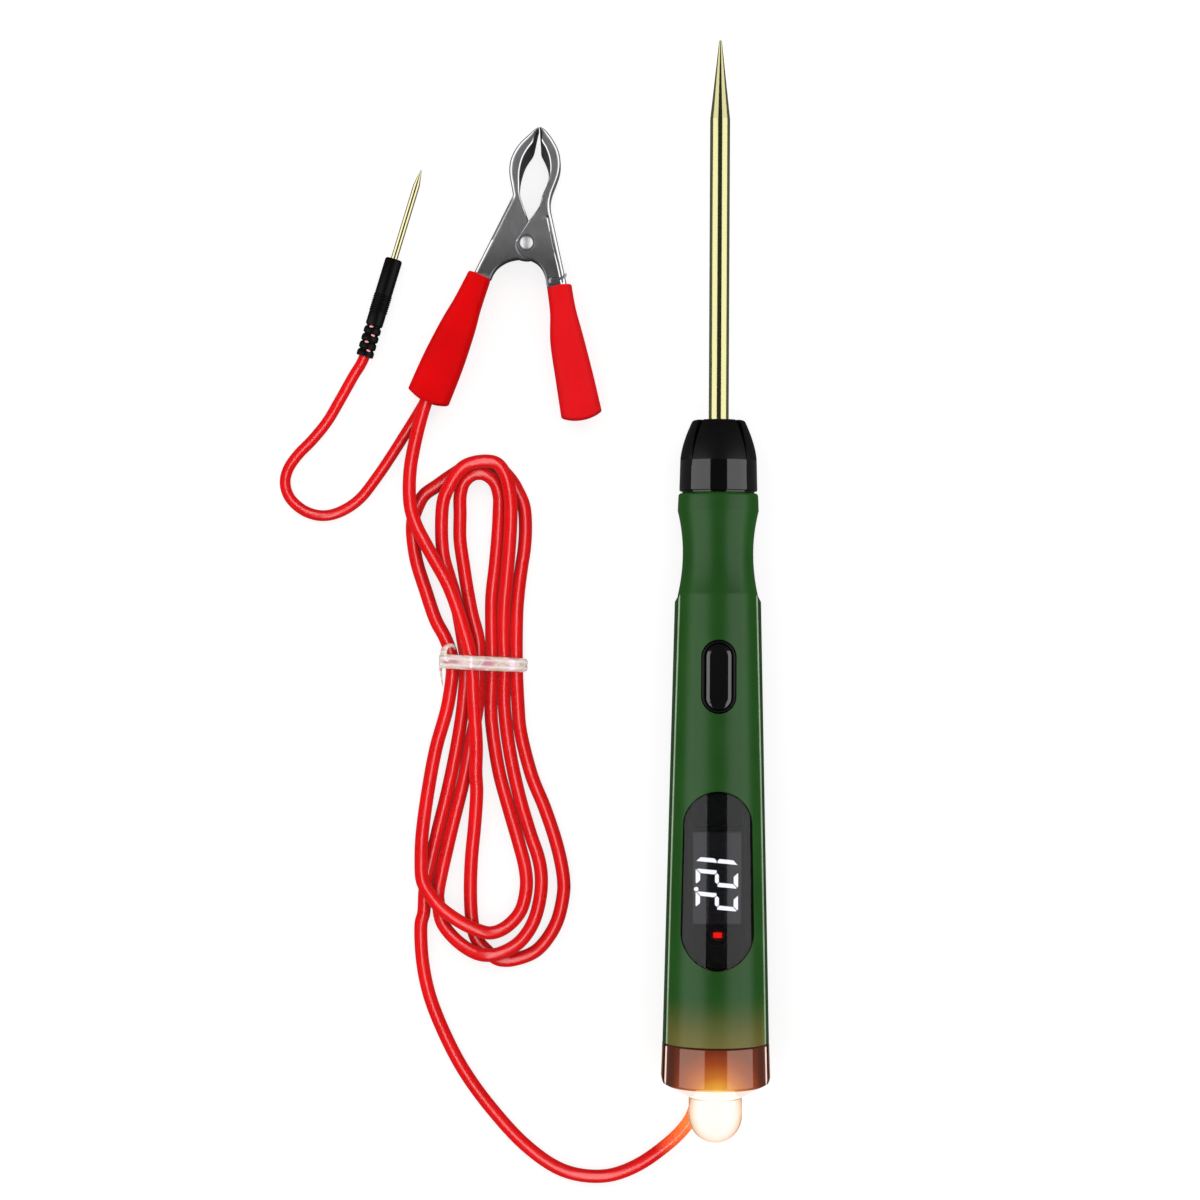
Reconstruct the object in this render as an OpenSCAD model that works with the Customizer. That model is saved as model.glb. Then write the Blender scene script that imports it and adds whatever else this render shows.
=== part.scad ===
// Pen type automotive circuit tester with a clip lead and a needle probe.
// It lies on its back rim and collar, display up, probe tip towards +Y.
// Millimetres. The origin is under the middle of the pen, on the surface.

/* [Pen body] */
// Circular radius of the barrel at its rear end
barrel_r_rear = 10.0; // [9.5:0.1:10.5]
// Circular radius of the barrel at the shoulder
barrel_r_front = 8.0; // [7.6:0.1:8.4]
// How far the barrel bulges past a straight taper
barrel_crown = 0.085; // [0:0.005:0.2]
// Where the barrel starts, measured from the rear rim
barrel_start = 8.2; // [8:0.1:9]
// Where the rails end and the grip waist begins
shoulder_s = 96.1; // [95:0.1:98]
// Length of the chamfer that ends the rails
lead_in = 1.4; // [1:0.1:2]
// Radius of the waist at its narrowest
waist_r = 7.05; // [6.9:0.05:7.6]
// Radius of the ring in front of the waist
crease_r = 8.1; // [7.9:0.05:8.4]
// Distance from the rear rim to that ring
crease_s = 114.3; // [113:0.1:116]
// Length of the collar in front of the ring
collar_len = 3.5; // [3:0.1:4]
// Wall of the two shells
wall = 1.8; // [1.5:0.1:2]
// How far the side rails stand out
rail_proud = 0.55; // [0.4:0.05:0.8]
// Height of the side rails
rail_h = 4.4; // [3.6:0.2:5.2]
// Width and depth of the parting groove
parting = 0.3; // [0.2:0.05:0.5]

/* [Nose and probe] */
// Radius of the nose collar at its back
nose_r = 7.8; // [7.5:0.05:7.9]
// Radius of the nose collar at its front face
nose_tip_r = 5.35; // [4.9:0.05:5.8]
// Length of the nose collar
nose_len = 14.2; // [13:0.1:15.5]
// Straight length at the back of the nose collar
nose_straight = 6.1; // [5:0.1:7]
// Width of the four grooves at the front face
groove_w = 1.3; // [0.8:0.1:1.8]
// Radius that the grooves are cut down to
groove_floor_r = 4.2; // [3.8:0.1:4.6]
// Radius of the probe rod
rod_r = 2.0; // [1.8:0.05:2.3]
// Length of the round part of the rod
rod_len = 60.5; // [40:0.5:90]
// Length of the ground point
point_len = 15.9; // [10:0.1:20]
// Radius at the very tip
tip_r = 0.3; // [0.2:0.05:0.5]

/* [Window and display] */
// Rear end of the display window
window_s0 = 23.3; // [22:0.1:25]
// Front end of the display window
window_s1 = 58.5; // [57:0.1:60]
// Half width of the window near its front end
window_hw_front = 6.75; // [6.4:0.05:7]
// Half width of the window near its rear end
window_hw_rear = 7.17; // [6.8:0.05:7.3]
// Roundness of the rear end, 2 is an ellipse
window_rear_power = 1.6; // [1.5:0.1:2]
// Thickness of the window
window_t = 1.2; // [0.9:0.1:1.4]
// Width of the display module
display_w = 10.6; // [10:0.1:11]
// Height of one digit
digit_h = 7.9; // [6:0.1:8.2]
// Width of one digit
digit_w = 3.7; // [3:0.1:3.8]
// Width of one segment
segment_w = 0.85; // [0.6:0.05:1]
// Lean of the digits in degrees
digit_lean = 5.5; // [0:0.5:10]

/* [Button] */
// Middle of the button
button_s = 81.2; // [80:0.1:83]
// Width of the button
button_w = 5.1; // [4.6:0.1:5.4]
// Length of the button
button_len = 13.0; // [11:0.1:14]
// Width of the rim round the button
bezel_w = 0.75; // [0.6:0.05:1]
// Travel of the button
button_travel = 0.35; // [0.2:0.05:0.4]
// How far the button stands out of the barrel
button_proud = 0.4; // [0.2:0.05:0.8]

/* [End cap and lamp] */
// Radius of the cap at its rear rim
cap_r = 10.25; // [10.1:0.05:10.6]
// Depth of the shallow cone on the cap's rear face
cap_cone = 2.4; // [1.5:0.1:3]
// Wall of the cap
cap_wall = 1.15; // [1:0.05:1.2]
// Radius of the lamp lens
lens_r = 5.3; // [5:0.05:5.4]
// Straight length of the lens behind the cap
lens_straight = 3.9; // [3:0.1:5]
// Wall of the lens
lens_wall = 0.9; // [0.7:0.1:1.2]

/* [Clip] */
// Sheet thickness of the jaws
sheet = 0.6; // [0.5:0.05:0.7]
// Width of the fixed jaw across its two plates
fixed_w = 5.0; // [4.6:0.1:5.4]
// Running gap between the plates of the two jaws
plate_gap = 0.1; // [0.08:0.01:0.2]
// Radius of the rivet
rivet_r = 1.1; // [0.9:0.05:1.2]
// Radius of the rivet heads
rivet_head_r = 1.7; // [1.5:0.05:2]
// Wall of the sleeves
sleeve_wall = 0.65; // [0.5:0.05:0.7]
// Radius of the spring wire
spring_wire_r = 0.3; // [0.25:0.05:0.35]

/* [Needle probe] */
// Radius of the needle
needle_r = 0.68; // [0.6:0.02:0.75]
// Length of the needle outside its handle
needle_len = 18.8; // [15:0.1:24]
// Length of the needle's taper
needle_taper = 3.4; // [2:0.1:6]
// Radius of the needle's handle
handle_r = 1.75; // [1.6:0.05:1.85]
// Length of the needle's handle
handle_len = 14.15; // [12:0.1:17]
// Radius of the ribbed grip on the handle
grip_r = 1.88; // [1.86:0.01:2]
// Number of rings on the grip
grip_rings = 8; // [5:1:10]
// Length of the strain relief
relief_len = 6.4; // [5:0.1:8]

/* [Leads] */
// Radius of the main lead
lead_r = 1.35; // [1.2:0.05:1.35]
// Radius of the branch lead
branch_r = 1.1; // [0.9:0.05:1.1]
// Height of the tied hank
hank_h = 5.7; // [5.5:0.1:6.5]
// Width of the tie along the hank
tie_w = 3.0; // [2:0.1:4]
// Thickness of the tie
tie_t = 0.4; // [0.3:0.05:0.6]

/* [Hidden] */
$fn = 96;
fit = 0.05;             // clearance of parts that slide or seat
seam = 0.1;             // clearance of trims set into the shells
over = 1;               // how far a cutter runs past what it cuts
mesh_fn = 24;           // circles inside hulls and swept tubes

// Colours as seen in daylight
green = "#245a1c";
gloss_black = "#101010";
brass = "#c8b45a";
amber = "#8a4a1c";
steel = "#6a6a6c";
bright_steel = "#c9cacc";
red = "#dc1018";
board_green = "#1f6b45";

// Stations along the pen, from the rear rim towards the tip
waist_s0 = shoulder_s + lead_in;
waist_s = (waist_s0 + crease_s) / 2;
barrel_end = crease_s + collar_len;
nose_s = barrel_end + 0.4;
nose_face = nose_s + nose_len;
point_s = nose_face + rod_len;
tip_s = point_s + point_len;
lens_base = -cap_cone;
lens_c = lens_base - lens_straight;
rim_s = 0.3;

// The pen rests on its rear rim and on the ring of the collar
tilt = atan((cap_r - crease_r) / (crease_s - rim_s));
pen_z = cap_r * cos(tilt) + rim_s * sin(tilt);
tip_y = (tip_s - tip_r) * cos(tilt) + tip_r;
back_y = lens_c * cos(tilt) - lens_r;
pen_y = -(tip_y + back_y) / 2;

// Circular radius of the barrel at a station
function barrel_r(s) =
    let (t = (s - barrel_start) / (shoulder_s - barrel_start))
    barrel_r_rear + (barrel_r_front - barrel_r_rear) * t + 4 * barrel_crown * t * (1 - t);

// Radius of the grip waist, a parabola on each side of its narrowest place
function waist_at(s) =
    let (edge = s < waist_s ? barrel_r_front : crease_r)
    waist_r + (edge - waist_r) * pow((s - waist_s) / (crease_s - waist_s), 2);

// Outer profile of the two shells together, as radius and station
function barrel_profile(grow) = concat(
    [[0, barrel_start]],
    [for (i = [0:8]) let (s = barrel_start + (shoulder_s - barrel_start) * i / 8) [barrel_r(s) + grow, s]],
    [for (i = [0:12]) let (s = waist_s0 + (crease_s - waist_s0) * i / 12) [waist_at(s) + grow, s]],
    [[crease_r - 0.12 + grow, barrel_end - 0.6], [crease_r - 0.7 + grow, barrel_end], [0, barrel_end]]);

// Smooth open curve through hand chosen points, n steps between each pair
function between(a, b, c, d, t) =
    0.5 * (2 * b + (c - a) * t + (2 * a - 5 * b + 4 * c - d) * t * t + (3 * b - 3 * c + d - a) * t * t * t);
function smooth(p, n) = concat(
    [for (i = [0:len(p) - 2]) for (k = [0:n - 1])
        between(p[max(i - 1, 0)], p[i], p[i + 1], p[min(i + 2, len(p) - 1)], k / n)],
    [p[len(p) - 1]]);
function unit(v) = v / norm(v);
function along(p, i) = unit(p[min(i + 1, len(p) - 1)] - p[max(i - 1, 0)]);
function reversed(p) = [for (i = [len(p) - 1:-1:0]) p[i]];

// A plane curve moved sideways, positive to the right of its direction
function beside(p, d) = [for (i = [0:len(p) - 1]) let (t = along(p, i)) p[i] + d * [t[1], -t[0]]];

// Closed skin over rings that all have the same number of points
module skin(rings) {
    n = len(rings[0]);
    last = len(rings) - 1;
    walls = [for (i = [0:last - 1]) for (j = [0:n - 1])
        [i * n + j, i * n + (j + 1) % n, (i + 1) * n + (j + 1) % n, (i + 1) * n + j]];
    start = [for (j = [n - 1:-1:0]) j];
    end = [for (j = [0:n - 1]) last * n + j];
    polyhedron([for (ring = rings) each ring], concat([start], walls, [end]));
}

// Round tube along a route
module tube(route, r, sides = 8) {
    skin([for (i = [0:len(route) - 1])
        let (t = along(route, i), side = unit(cross(t, [0, 0, 1])), up = cross(side, t))
        [for (k = [0:sides - 1])
            route[i] + r * (cos(360 * k / sides) * side + sin(360 * k / sides) * up)]]);
}

// Turned form about the pen axis from radius and station pairs
module turned(profile) {
    rotate([-90, 0, 0]) rotate_extrude() polygon(profile);
}

// Round bar or bore along the pen axis
module bar(r, s0, s1) {
    translate([0, s0, 0]) rotate([-90, 0, 0]) cylinder(r = r, h = s1 - s0);
}

// Lays the pen down as it rests
module lie_down() {
    translate([0, pen_y, pen_z]) rotate([-tilt, 0, 0]) children();
}

module half_space(top) {
    translate([-30, -30, top ? 0 : -60]) cube([60, 300, 60]);
}

// Stadium outline round a place on the pen
function stadium(w, len, s) = [
    for (a = [0:12:180]) [w / 2 * cos(a), s + (len - w) / 2 + w / 2 * sin(a)],
    for (a = [180:12:360]) [w / 2 * cos(a), s - (len - w) / 2 + w / 2 * sin(a)]];

// Window outline: round front end, straight tapered sides and a fuller rear end
window_front_c = window_s1 - window_hw_front;
window_rear_c = window_s0 + window_hw_rear;
function window_outline(g) = concat(
    [for (a = [0:9:180]) [(window_hw_front + g) * cos(a), window_front_c + (window_hw_front + g) * sin(a)]],
    [for (a = [180:9:360]) let (c = cos(a), s = sin(a))
        [(window_hw_rear + g) * sign(c) * pow(abs(c), 2 / window_rear_power),
         window_rear_c - (window_hw_rear + g) * pow(abs(s), 2 / window_rear_power)]]);

module upright(outline, z0 = 0, z1 = 20) {
    translate([0, 0, z0]) linear_extrude(z1 - z0) polygon(outline);
}

module barrel_form(grow) { turned(barrel_profile(grow)); }

// Plan of one pair of side rails on the barrel
function rail_plan() = let (
        x0 = barrel_r(barrel_start) + rail_proud,
        x1 = barrel_r_front + rail_proud,
        x2 = barrel_r_front - 0.2)
    [[-x0, barrel_start], [-x1, shoulder_s], [-x2, waist_s0],
     [x2, waist_s0], [x1, shoulder_s], [x0, barrel_start]];

spigot_r = 6.0;           // spigot of the nose collar inside the shells
spigot_len = 8.3;
neck_r = 5.2;             // cavity under the waist
step_s = nose_s - spigot_len;
module cavity() {
    turned(concat(
        [[0, barrel_start - over], [barrel_r_rear - wall, barrel_start - over]],
        [for (i = [0:6]) let (s = barrel_start + (shoulder_s - barrel_start) * i / 6)
            [barrel_r(s) - wall, s]],
        [[neck_r, waist_s0 + 1], [neck_r, step_s], [spigot_r + fit, step_s],
         [spigot_r + fit, barrel_end + over], [0, barrel_end + over]]));
}

module shells() {
    difference() {
        union() {
            barrel_form(0);
            translate([0, 0, -rail_h / 2]) linear_extrude(rail_h) polygon(rail_plan());
        }
        cavity();
        side_groove();
    }
}

module side_groove() {
    for (side = [-1, 1]) translate([0, 0, -parting / 2]) linear_extrude(parting) polygon([
        [side * (barrel_r_rear + rail_proud - parting), barrel_start - over],
        [side * (barrel_r_front + rail_proud - parting), shoulder_s + over],
        [side * 20, shoulder_s + over],
        [side * 20, barrel_start - over]]);
}

screw_places = [66, 93];
screw_r = 0.95;
head_r = 1.9;
head_h = 1.3;
head_seat = -5;           // height of the screw head's seat, from the pen axis
screw_top = 5.4;
front_boss_r = 2.0;
back_boss_r = 2.9;
board_z = 1.0;
board_t = 1.2;
board_w = 10.4;
board_s0 = 24;
board_s1 = 96;
tongue_w = 4;
rib_places = [34, 56, 88];

module front_shell() color(green) lie_down() {
    difference() {
        union() {
            intersection() { shells(); half_space(true); }
            intersection() {
                barrel_form(-wall / 2);
                for (s = screw_places) translate([0, s, 0]) cylinder(r = front_boss_r, h = 12);
            }
        }
        intersection() {
            upright(window_outline(seam));
            difference() { barrel_form(over); barrel_form(-window_t - fit); }
        }
        upright(window_outline(-0.6));
        upright(stadium(button_w + 2 * bezel_w + 2 * seam + 0.2,
            button_len + 2 * bezel_w + 2 * seam, button_s));
        for (s = screw_places) translate([0, s, -over])
            cylinder(r = screw_r + fit, h = screw_top + over + 0.2);
    }
}

module back_shell() color(green) lie_down() {
    difference() {
        union() {
            intersection() { shells(); half_space(false); }
            intersection() {
                barrel_form(-wall / 2);
                union() {
                    for (s = screw_places) translate([0, s, -12]) cylinder(r = back_boss_r, h = 12);
                    for (s = rib_places) translate([-board_w / 2 + 0.6, s, -12])
                        cube([board_w - 1.2, 1.4, 12 + board_z]);
                }
            }
        }
        for (s = screw_places) {
            translate([0, s, -12]) cylinder(r = screw_r + 0.2, h = 12 + over);
            translate([0, s, -12]) cylinder(r = head_r + 0.15, h = 12 + head_seat);
        }
    }
}

module case_screws() color(bright_steel) lie_down() {
    for (s = screw_places) translate([0, s, 0]) difference() {
        union() {
            translate([0, 0, head_seat - head_h]) cylinder(r = head_r, h = head_h);
            translate([0, 0, head_seat - over]) cylinder(r = screw_r, h = screw_top - head_seat + over);
        }
        for (turn = [0, 90]) rotate([0, 0, turn]) translate([0, 0, head_seat - head_h])
            cube([2.2, 0.5, 1.2], center = true);
    }
}

// Nose collar: straight at the back, then a full curve down to the front face
function nose_at(t) = nose_r - 0.15 - (nose_r - 0.15 - nose_tip_r) * pow(t, 1.6);
bush_r = 3.0;
bush_s0 = nose_s - 12.2;
bush_s1 = nose_s + 3.8;
spigot_bore = 1.6;        // thin end of the rod inside the nose
module nose_collar() color(gloss_black) lie_down() {
    curve_s = nose_s + nose_straight;
    difference() {
        turned(concat(
            [[bush_r + fit, step_s + 0.02], [spigot_r, step_s + 0.02], [spigot_r, nose_s],
             [nose_r - 0.25, nose_s], [nose_r, nose_s + 0.25], [nose_r - 0.15, curve_s]],
            [for (i = [1:10]) [nose_at(i / 10), curve_s + (nose_len - nose_straight - 0.3) * i / 10]],
            [[nose_tip_r - 0.4, nose_face], [spigot_bore + fit, nose_face],
             [spigot_bore + fit, bush_s1 + 0.02], [bush_r + fit, bush_s1 + 0.02]]));
        for (k = [0:3]) rotate([0, 45 + 90 * k, 0]) translate([0, 0, groove_floor_r]) linear_extrude(8)
            polygon([[0, curve_s - 1], [-groove_w / 2, nose_face + 0.1], [groove_w / 2, nose_face + 0.1]]);
    }
}

module probe_rod() color(brass) lie_down() {
    bar(spigot_bore, bush_s0 + 6, nose_face + 0.01);
    bar(rod_r, nose_face, point_s);
    turned([[0, point_s - 0.01], [rod_r, point_s - 0.01], [rod_r, point_s], [tip_r, tip_s - tip_r],
            [0, tip_s - tip_r]]);
    translate([0, tip_s - tip_r, 0]) sphere(r = tip_r, $fn = mesh_fn);
}

module probe_socket() color(brass) lie_down() difference() {
    bar(bush_r, bush_s0, bush_s1);
    bar(spigot_bore + 0.02, bush_s0 + 5.9, bush_s1 + over);
    translate([-tongue_w / 2 - fit, bush_s0 - over, board_z - fit])
        cube([tongue_w + 2 * fit, 3 + over, board_t + 2 * fit]);
}

module circuit_board() color(board_green) lie_down() difference() {
    translate([0, 0, board_z]) union() {
        translate([-board_w / 2, board_s0, 0]) cube([board_w, board_s1 - board_s0, board_t]);
        translate([-tongue_w / 2, board_s1 - over, 0])
            cube([tongue_w, bush_s0 + 3 - 0.05 - board_s1 + over, board_t]);
    }
    for (s = screw_places) translate([0, s, 0]) cylinder(r = front_boss_r + 0.2, h = 5);
}

display_s0 = 31.6;
display_s1 = 51.7;
display_z = 5.5;
glass_in = 0.35;           // the display's glass is this much narrower than its body on each side
module display_module() color("#1c1c1c") lie_down() {
    translate([-display_w / 2, display_s0, board_z + board_t])
        cube([display_w, display_s1 - display_s0, display_z - board_z - board_t - 0.4]);
    translate([-display_w / 2 + glass_in, display_s0 + 0.9, display_z - 0.5])
        cube([display_w - 2 * glass_in, display_s1 - display_s0 - 1.8, 0.5]);
}

// One bar of a digit, pointed at both ends, along +X
module segment_bar(len) {
    h = segment_w / 2;
    linear_extrude(0.15) polygon([[0, 0], [h, h], [len - h, h], [len, 0], [len - h, -h], [h, -h]]);
}

// Lit bars of a digit that reads along -Y with its top towards +X
gap_bar = 0.12;
module digit_two() {
    reach = digit_h / 2 - gap_bar;
    across = digit_w - gap_bar;
    for (x = [-digit_h / 2, 0, digit_h / 2])
        translate([x * (1 - segment_w / digit_h), -digit_w / 2 + gap_bar / 2, 0]) rotate([0, 0, 90])
            segment_bar(across);
    for (bar_at = [[-digit_h / 2 + gap_bar, digit_w / 2], [gap_bar / 2, -digit_w / 2]])
        translate([bar_at[0] * (1 - segment_w / digit_h), bar_at[1] * (1 - segment_w / digit_w), 0])
            segment_bar(reach - segment_w / 2);
}
module digit_one() {
    for (x = [-digit_h / 2 + gap_bar, gap_bar / 2])
        translate([x * (1 - segment_w / digit_h), 0, 0]) segment_bar(digit_h / 2 - gap_bar - segment_w / 2);
}
module display_digits() color("white") lie_down() translate([0, 0, display_z])
    multmatrix([[1, 0, 0, 0], [-tan(digit_lean), 1, 0, 0], [0, 0, 1, 0]]) {
        translate([0, 45.1, 0]) digit_one();
        translate([0, 41.6, 0]) digit_two();
        translate([0, 37.1, 0]) digit_two();
        translate([-digit_h / 2, 39.35, 0]) cylinder(r = 0.4, h = 0.15);
    }

module display_window() color("#202022") lie_down() difference() {
    intersection() {
        upright(window_outline(0));
        barrel_form(0);
    }
    barrel_form(-window_t);
}

led_s = 30.3;
module indicator_led() color("#e01010") lie_down()
    translate([-0.8, led_s - 0.5, board_z + board_t])
        cube([1.6, 1.0, barrel_r(led_s) - window_t - 0.35 - board_z - board_t]);

module button_bezel() color(gloss_black) lie_down() {
    w = button_w + 2 * bezel_w;
    len = button_len + 2 * bezel_w - 0.4;
    difference() {
        union() {
            intersection() { upright(stadium(w + 0.2, len + 0.2, button_s)); barrel_form(-0.12); }
            intersection() { upright(stadium(w + 1.6, len + 1.6, button_s)); barrel_form(-wall - fit); }
        }
        barrel_form(-wall - 0.8);
        upright(stadium(button_w + 0.24, button_len + 0.24, button_s));
    }
}

flange_z = 4.1;           // underside of the button's flange
module power_button() color("#080808") lie_down() {
    intersection() {
        upright(stadium(button_w, button_len, button_s), flange_z);
        barrel_form(button_proud);
    }
    intersection() {
        upright(stadium(button_w + 1, button_len + 1, button_s), flange_z, flange_z + 0.5);
        barrel_form(-wall - 0.9);
    }
}

tact = 6;
tact_top = 3.6;
plunger_r = 1.5;
module tact_switch() color("#2a2a2a") lie_down() difference() {
    translate([-tact / 2, button_s - tact / 2, board_z + board_t])
        cube([tact, tact, tact_top - board_z - board_t]);
    translate([0, button_s, board_z + board_t + 0.2]) cylinder(r = plunger_r + fit, h = 4);
}
module tact_plunger() color("#d8c8a0") lie_down()
    translate([0, button_s, board_z + board_t + 0.2 + button_travel + 0.15])
        cylinder(r = plunger_r, h = flange_z - board_z - board_t - 0.35 - button_travel);

// Cap: a cup with a shallow cone behind, side rail ends and a boss for the lead
cap_end = barrel_start - 0.06;
cap_inner = cap_r - cap_wall;
exit_x = -3.3;
exit_r = lens_r + 2.1;
exit_z = -sqrt(exit_r * exit_r - exit_x * exit_x);
grommet_r = 1.6;
exit_s = -cap_cone - 1.6;
module at_exit() { translate([exit_x, 0, exit_z]) children(); }
module end_cap() color(amber) lie_down() difference() {
    union() {
        turned([[0, -cap_cone], [lens_r + 0.3, -cap_cone], [cap_r - 0.25, 0], [cap_r, rim_s],
                [barrel_r(barrel_start) + 0.05, cap_end], [barrel_r_rear - wall - 0.15, cap_end],
                [barrel_r_rear - wall - 0.2, barrel_start + 4.3], [0, barrel_start + 4.3]]);
        for (side = [-1, 1]) translate([0, 0, -rail_h / 2]) linear_extrude(rail_h) polygon([
            [side * 6, 1], [side * (cap_r + 0.1), 0.25], [side * (cap_r + rail_proud - 0.15), 0.9],
            [side * (cap_r + rail_proud), 1.6],
            [side * (barrel_r(barrel_start) + rail_proud + 0.05), cap_end], [side * 6, cap_end]]);
        at_exit() bar(grommet_r + 0.6, -cap_cone - 0.1, 1);
    }
    turned([[0, -1.2], [lens_r + 0.9, -1.2], [cap_inner, 1.4], [cap_inner - 0.1, barrel_start - 1.2],
            [barrel_r_rear - wall - 1.2, barrel_start - 0.2],
            [barrel_r_rear - wall - 1.2, barrel_start + 5], [0, barrel_start + 5]]);
    bar(lens_r + fit, -6, 6);
    at_exit() bar(grommet_r + 0.02, -6, 6);
}

module lamp_lens() color("#fff4d8") lie_down() difference() {
    union() {
        translate([0, lens_c, 0]) sphere(r = lens_r);
        bar(lens_r, lens_c, 0.8);
    }
    translate([0, lens_c, 0]) sphere(r = lens_r - lens_wall);
    bar(lens_r - lens_wall, lens_c, 2);
}

led_r = 2.5;
led_back = -0.2;
led_tip = lens_c - 0.9;
module lamp_led() color("#fff0c0") lie_down() {
    turned([[0, led_tip], [0.48 * led_r, led_tip + 0.12 * led_r], [0.84 * led_r, led_tip + 0.44 * led_r],
            [led_r, led_tip + 0.92 * led_r], [led_r, led_back - 1], [led_r + 0.4, led_back - 1],
            [led_r + 0.4, led_back], [0, led_back]]);
    for (side = [-1, 1]) translate([side * led_r / 2 - 0.25, led_back - 0.1, board_z - 0.5])
        cube([0.5, board_s0 + 2 - led_back, 0.5]);
}

module cord_grommet() color("#141414") lie_down() at_exit() difference() {
    union() {
        bar(grommet_r, exit_s, 3);
        bar(grommet_r + 0.45, exit_s + 0.3, -cap_cone - 0.15);
    }
    bar(lead_r + 0.08, exit_s - over, 3 + over);
}

wire_r = 0.6;
wire_bend = barrel_r_rear - wall - 2.2;
wire_route = [[exit_x, 3.25, exit_z], [-0.65 * wire_bend, barrel_start + 0.8, -0.76 * wire_bend],
    [-0.48 * board_w, 2 * barrel_start, -0.45 * wire_bend], [-0.44 * board_w, board_s0 - 2, -0.4],
    [-0.4 * board_w, board_s0 + 1.6, board_z - wire_r - 0.05]];
module board_wire() color(red) lie_down()
    tube(smooth(wire_route, 2), wire_r);

// Clip: all places from the rivet, plates flat, jaws towards +Y
clip_x = -38.7;
clip_y = 69.3;
moving_w = fixed_w + 2 * sheet + 2 * plate_gap;
clip_z = moving_w / 2 + sleeve_wall;
boss_r = 3.2;
fixed_edge = smooth([[2.3, 23.7], [-0.8, 21.3], [-3.2, 17.8], [-3.6, 13.6], [-2.9, 10], [-5.2, 4.6],
    [-10.6, -6.1]], 4);
fixed_bite = smooth([[2.3, 22.6], [1.1, 20.9], [-1.3, 17.6], [-1.9, 13.9], [-1.6, 10], [0.1, 4.6]], 4);
fixed_arch = smooth([[-1.9, -2.6], [-4, -3.5], [-6, -5.3], [-7.3, -7.6]], 4);
moving_edge = smooth([[2.45, 23.7], [4.9, 21.2], [6.5, 17.4], [6, 13], [4.8, 8.6], [5.6, 2.5],
    [8.1, -8.2]], 4);
moving_bite = smooth([[2.45, 22.4], [3, 20.5], [4.4, 16.7], [3.9, 12.2], [2.2, 7], [0.5, 4.8]], 4);
moving_arch = smooth([[0.9, -3.1], [2.2, -4.4], [3.5, -6.6], [4.6, -10]], 4);

// Sleeve sections: distance along the handle, sideways shift and half width
fixed_dir = 157.4;        // direction of the handle from straight ahead, in degrees
fixed_root = [-9.45, -6.35];
fixed_sections = [[0, 0, 2.35], [6, 0, 2.85], [11.5, 0, 3.6], [19, 0, 4.2], [27, 0, 4.4]];
moving_dir = 190.4;
moving_root = [6.6, -8.45];
moving_sections = [[0, 0, 2.5], [5, -0.15, 2.65], [11, -0.37, 3.42], [19, -0.2, 3.85], [26.6, -0.1, 4.15]];
handle_end = 12;          // length of the handle inside its sleeve

function heading(a) = [-sin(a), cos(a)];
function right_of(a) = [cos(a), sin(a)];
function at_handle(root, a, t, d) = root + t * heading(a) - d * right_of(a);

module in_clip() { translate([clip_x, clip_y, clip_z]) children(); }

// The two plates and the folded edge of one jaw
module jaw(edge, inner, width) {
    for (z = [-width / 2, width / 2 - sheet]) translate([0, 0, z]) {
        linear_extrude(sheet) polygon(concat(edge, reversed(inner)));
        cylinder(r = boss_r, h = sheet);
    }
    translate([0, 0, -width / 2]) linear_extrude(width) children();
}

fixed_tail = [for (d = [1.65, -1.65]) at_handle(fixed_root, fixed_dir, handle_end, d)];
moving_tail = [for (d = [-1.75, 1.75]) at_handle(moving_root, moving_dir, handle_end, d)];
fixed_back = concat(fixed_edge, [fixed_tail[1]]);
moving_back = concat(moving_edge, [moving_tail[1]]);
module clip_jaw_fixed() color(steel) in_clip() difference() {
    jaw(fixed_back, concat(fixed_bite, fixed_arch, [fixed_tail[0]]), fixed_w)
        intersection() {
            polygon(concat(fixed_back, reversed(beside(fixed_back, -sheet))));
            translate([fixed_edge[0][0] - 40, -30]) square([40, 60]);
        }
    translate([0, 0, -5]) cylinder(r = rivet_r + 0.03, h = 10);
}
module clip_jaw_moving() color(steel) in_clip() difference() {
    jaw(moving_back, concat(moving_bite, moving_arch, [moving_tail[0]]), moving_w)
        intersection() {
            polygon(concat(moving_back, reversed(beside(moving_back, sheet))));
            translate([moving_edge[0][0], -30]) square([40, 60]);
        }
    translate([0, 0, -5]) cylinder(r = rivet_r + fit, h = 10);
}

module clip_rivet() color(bright_steel) in_clip() {
    cylinder(r = rivet_r, h = moving_w + 0.2, center = true);
    for (side = [-1, 1]) scale([1, 1, side]) {
        translate([0, 0, moving_w / 2 + 0.03]) cylinder(r = rivet_head_r, h = 0.25);
        translate([0, 0, moving_w / 2 + 0.03]) cylinder(r = rivet_r + 0.1, h = 0.5);
    }
}

spring_r = 1.75;
spring_rise = 0.75;
function spring_route() = concat(
    [[-8.3, -4.1, -spring_rise * 1.5], [-5.4, -1.2, -spring_rise * 1.5]],
    [for (i = [0:36]) let (a = 110 - 31.4 * i)
        [spring_r * cos(a), spring_r * sin(a), spring_rise * (i / 12 - 1.5)]],
    [[4.2, -0.8, spring_rise * 1.5], [6.4, -4.4, spring_rise * 1.5]]);
module clip_spring() color(bright_steel) in_clip() tube(spring_route(), spring_wire_r, 6);

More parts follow.
